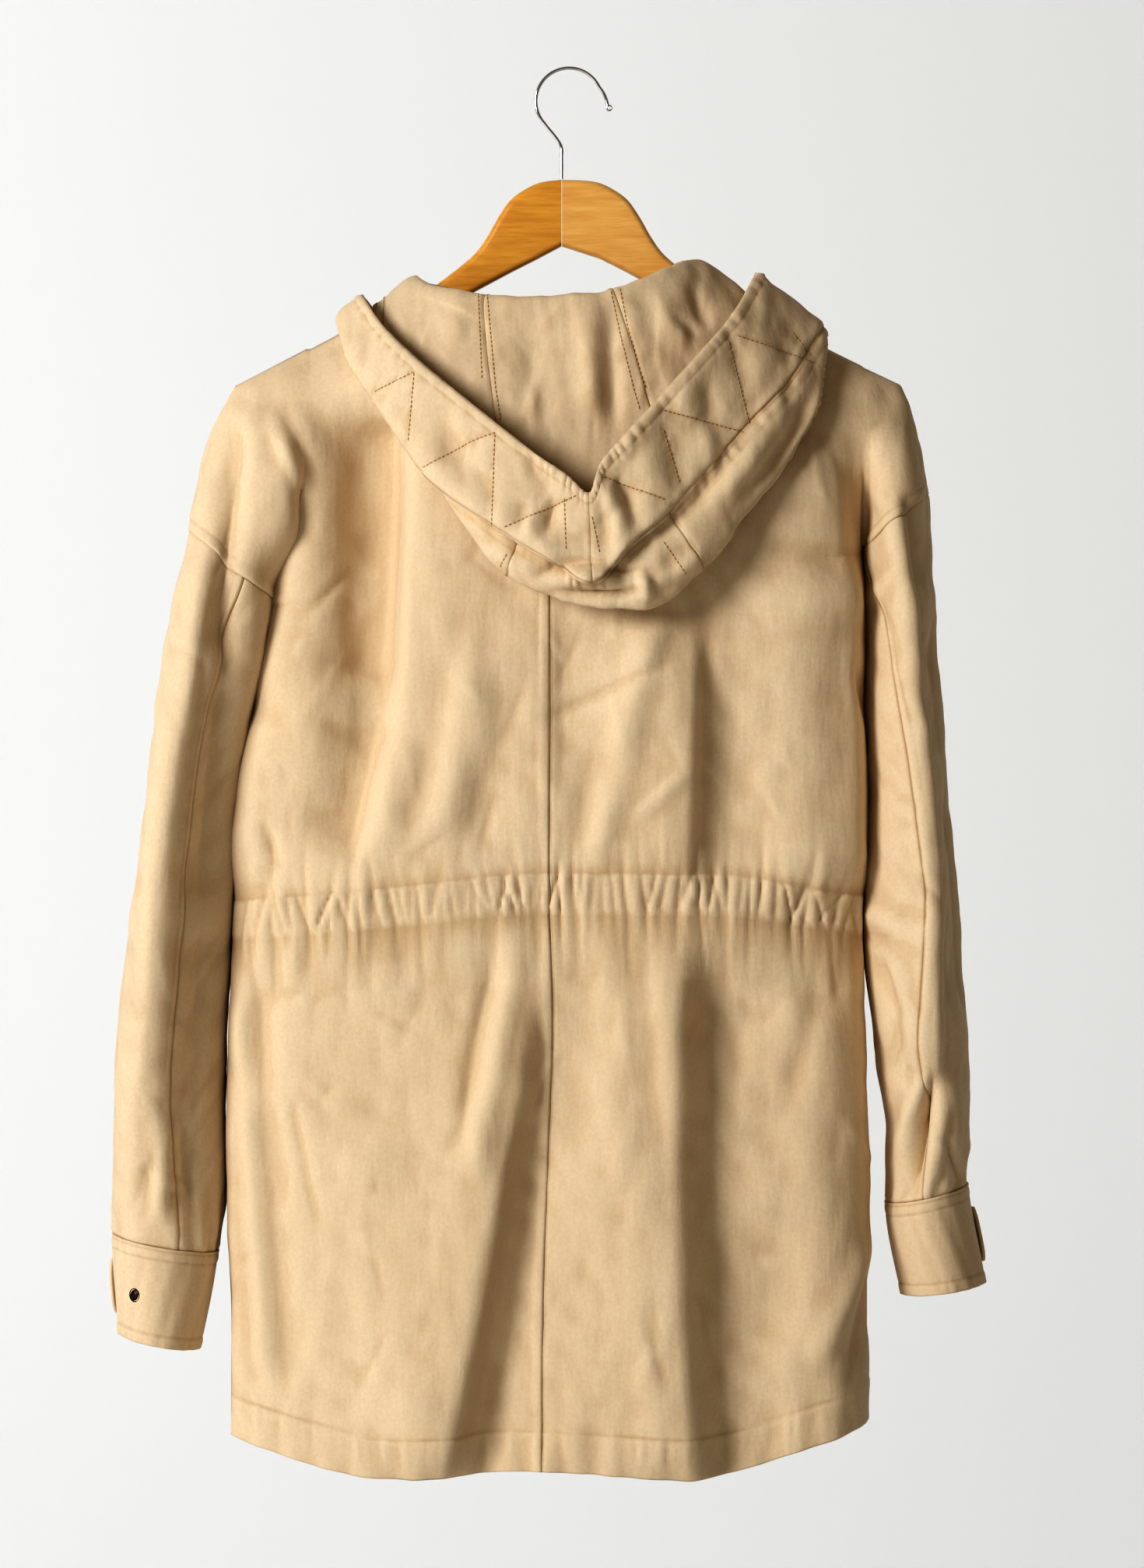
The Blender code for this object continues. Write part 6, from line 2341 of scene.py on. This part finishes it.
@dataclass
class Studio:
    """Pale wall and floor, soft light from the upper left, and the camera."""

    camera_m: Triple = (0.002, -3.0, -0.486)
    view_height_m: float = 1.067
    sensor: float = 36.0
    plane_m: float = 12.0
    wall_m: float = 1.6
    floor_m: float = -1.35
    wall_glow: float = 0.135
    wall_tone: Colour = (0.785, 0.80, 0.82)
    floor_tone: Colour = (0.80, 0.80, 0.79)
    key_m: Triple = (-3.1, -2.9, 0.7)
    key_aim_m: Triple = (0.0, 0.0, -0.5)
    key_size_m: float = 1.8
    key_power: float = 107.0
    fill: float = 0.13
    fill_tone: Colour = (1.0, 0.85, 0.63)

    def plane(self, name: str, finish: PlasterFinish, matrix: Matrix) -> None:
        """Set up a flat backdrop.

        Args:
            name: its name.
            finish: its paint.
            matrix: where it lies.
        """
        bm = bmesh.new()
        bmesh.ops.create_grid(bm, x_segments=1, y_segments=1, size=self.plane_m / 2, matrix=matrix)
        mesh = from_bmesh(bm, name)
        mesh.materials.append(finish.material())
        thing = bpy.data.objects.new(name, mesh)
        bpy.context.scene.collection.objects.link(thing)

    def build(self) -> None:
        """Set up the backdrop, the lights and the camera."""
        scene = bpy.context.scene
        self.plane("backdrop", PlasterFinish("wall_paint", self.wall_tone, True, self.wall_glow),
                   Matrix.Translation((0, self.wall_m, 0)) @ Matrix.Rotation(np.pi / 2, 4, "X"))
        self.plane("floor", PlasterFinish("floor_paint", self.floor_tone),
                   Matrix.Translation((0, 0, self.floor_m)))
        key = bpy.data.lights.new("key", "AREA")
        key.shape, key.size, key.energy = "DISK", self.key_size_m, self.key_power
        lamp = bpy.data.objects.new("key", key)
        lamp.location = self.key_m
        aim = Vector(self.key_aim_m) - Vector(self.key_m)
        lamp.rotation_euler = aim.to_track_quat("-Z", "Y").to_euler()
        scene.collection.objects.link(lamp)
        scene.world = bpy.data.worlds.new("studio")
        scene.world.use_nodes = True
        sky = scene.world.node_tree.nodes["Background"]
        sky.inputs[0].default_value = (*self.fill_tone, 1)
        sky.inputs[1].default_value = self.fill
        scene.view_settings.view_transform = "Standard"
        scene.view_settings.look = "Very High Contrast"
        camera = bpy.data.cameras.new("camera")
        camera.sensor_fit = "VERTICAL"
        camera.sensor_height = self.sensor
        camera.lens = camera.sensor_height * -self.camera_m[1] / self.view_height_m
        eye = bpy.data.objects.new("camera", camera)
        eye.location = self.camera_m
        eye.rotation_euler = (np.pi / 2, 0.0, 0.0)
        scene.collection.objects.link(eye)
        scene.camera = eye


def main() -> None:
    """Dress the coat, its hanger and its hook, and set up the studio."""
    logging.basicConfig(level=logging.INFO, format="%(name)s %(message)s")
    Studio().build()
    body = BodyForm()
    twill, thread = TwillFinish().material(), ThreadFinish().material()
    bronze = MetalFinish("dark_bronze", (0.055, 0.042, 0.036), (0.028, 0.021, 0.018), 0.34).material()
    honey = WoodFinish("honey_varnish", (0.80, 0.43, 0.09), (0.60, 0.27, 0.035), grain_turn=0.55).material()
    pale = WoodFinish("pale_varnish", (0.88, 0.55, 0.20), (0.74, 0.40, 0.11), grain_turn=-0.7).material()
    chrome = MetalFinish("polished_chrome", (0.80, 0.81, 0.83), (0.62, 0.63, 0.66), 0.1).material()
    for assembly in (
        Panels(body, twill, thread),
        Placket(body, twill, thread, bronze),
        Sleeves(body, twill, thread, bronze),
        Hood(HoodForm(body), twill, thread),
        Hanger(body, {Side.LEFT: honey, Side.RIGHT: pale}),
        Hook(chrome),
    ):
        assembly.build()
        log.info("%s done", type(assembly).__name__)


if __name__ == "__main__":
    main()
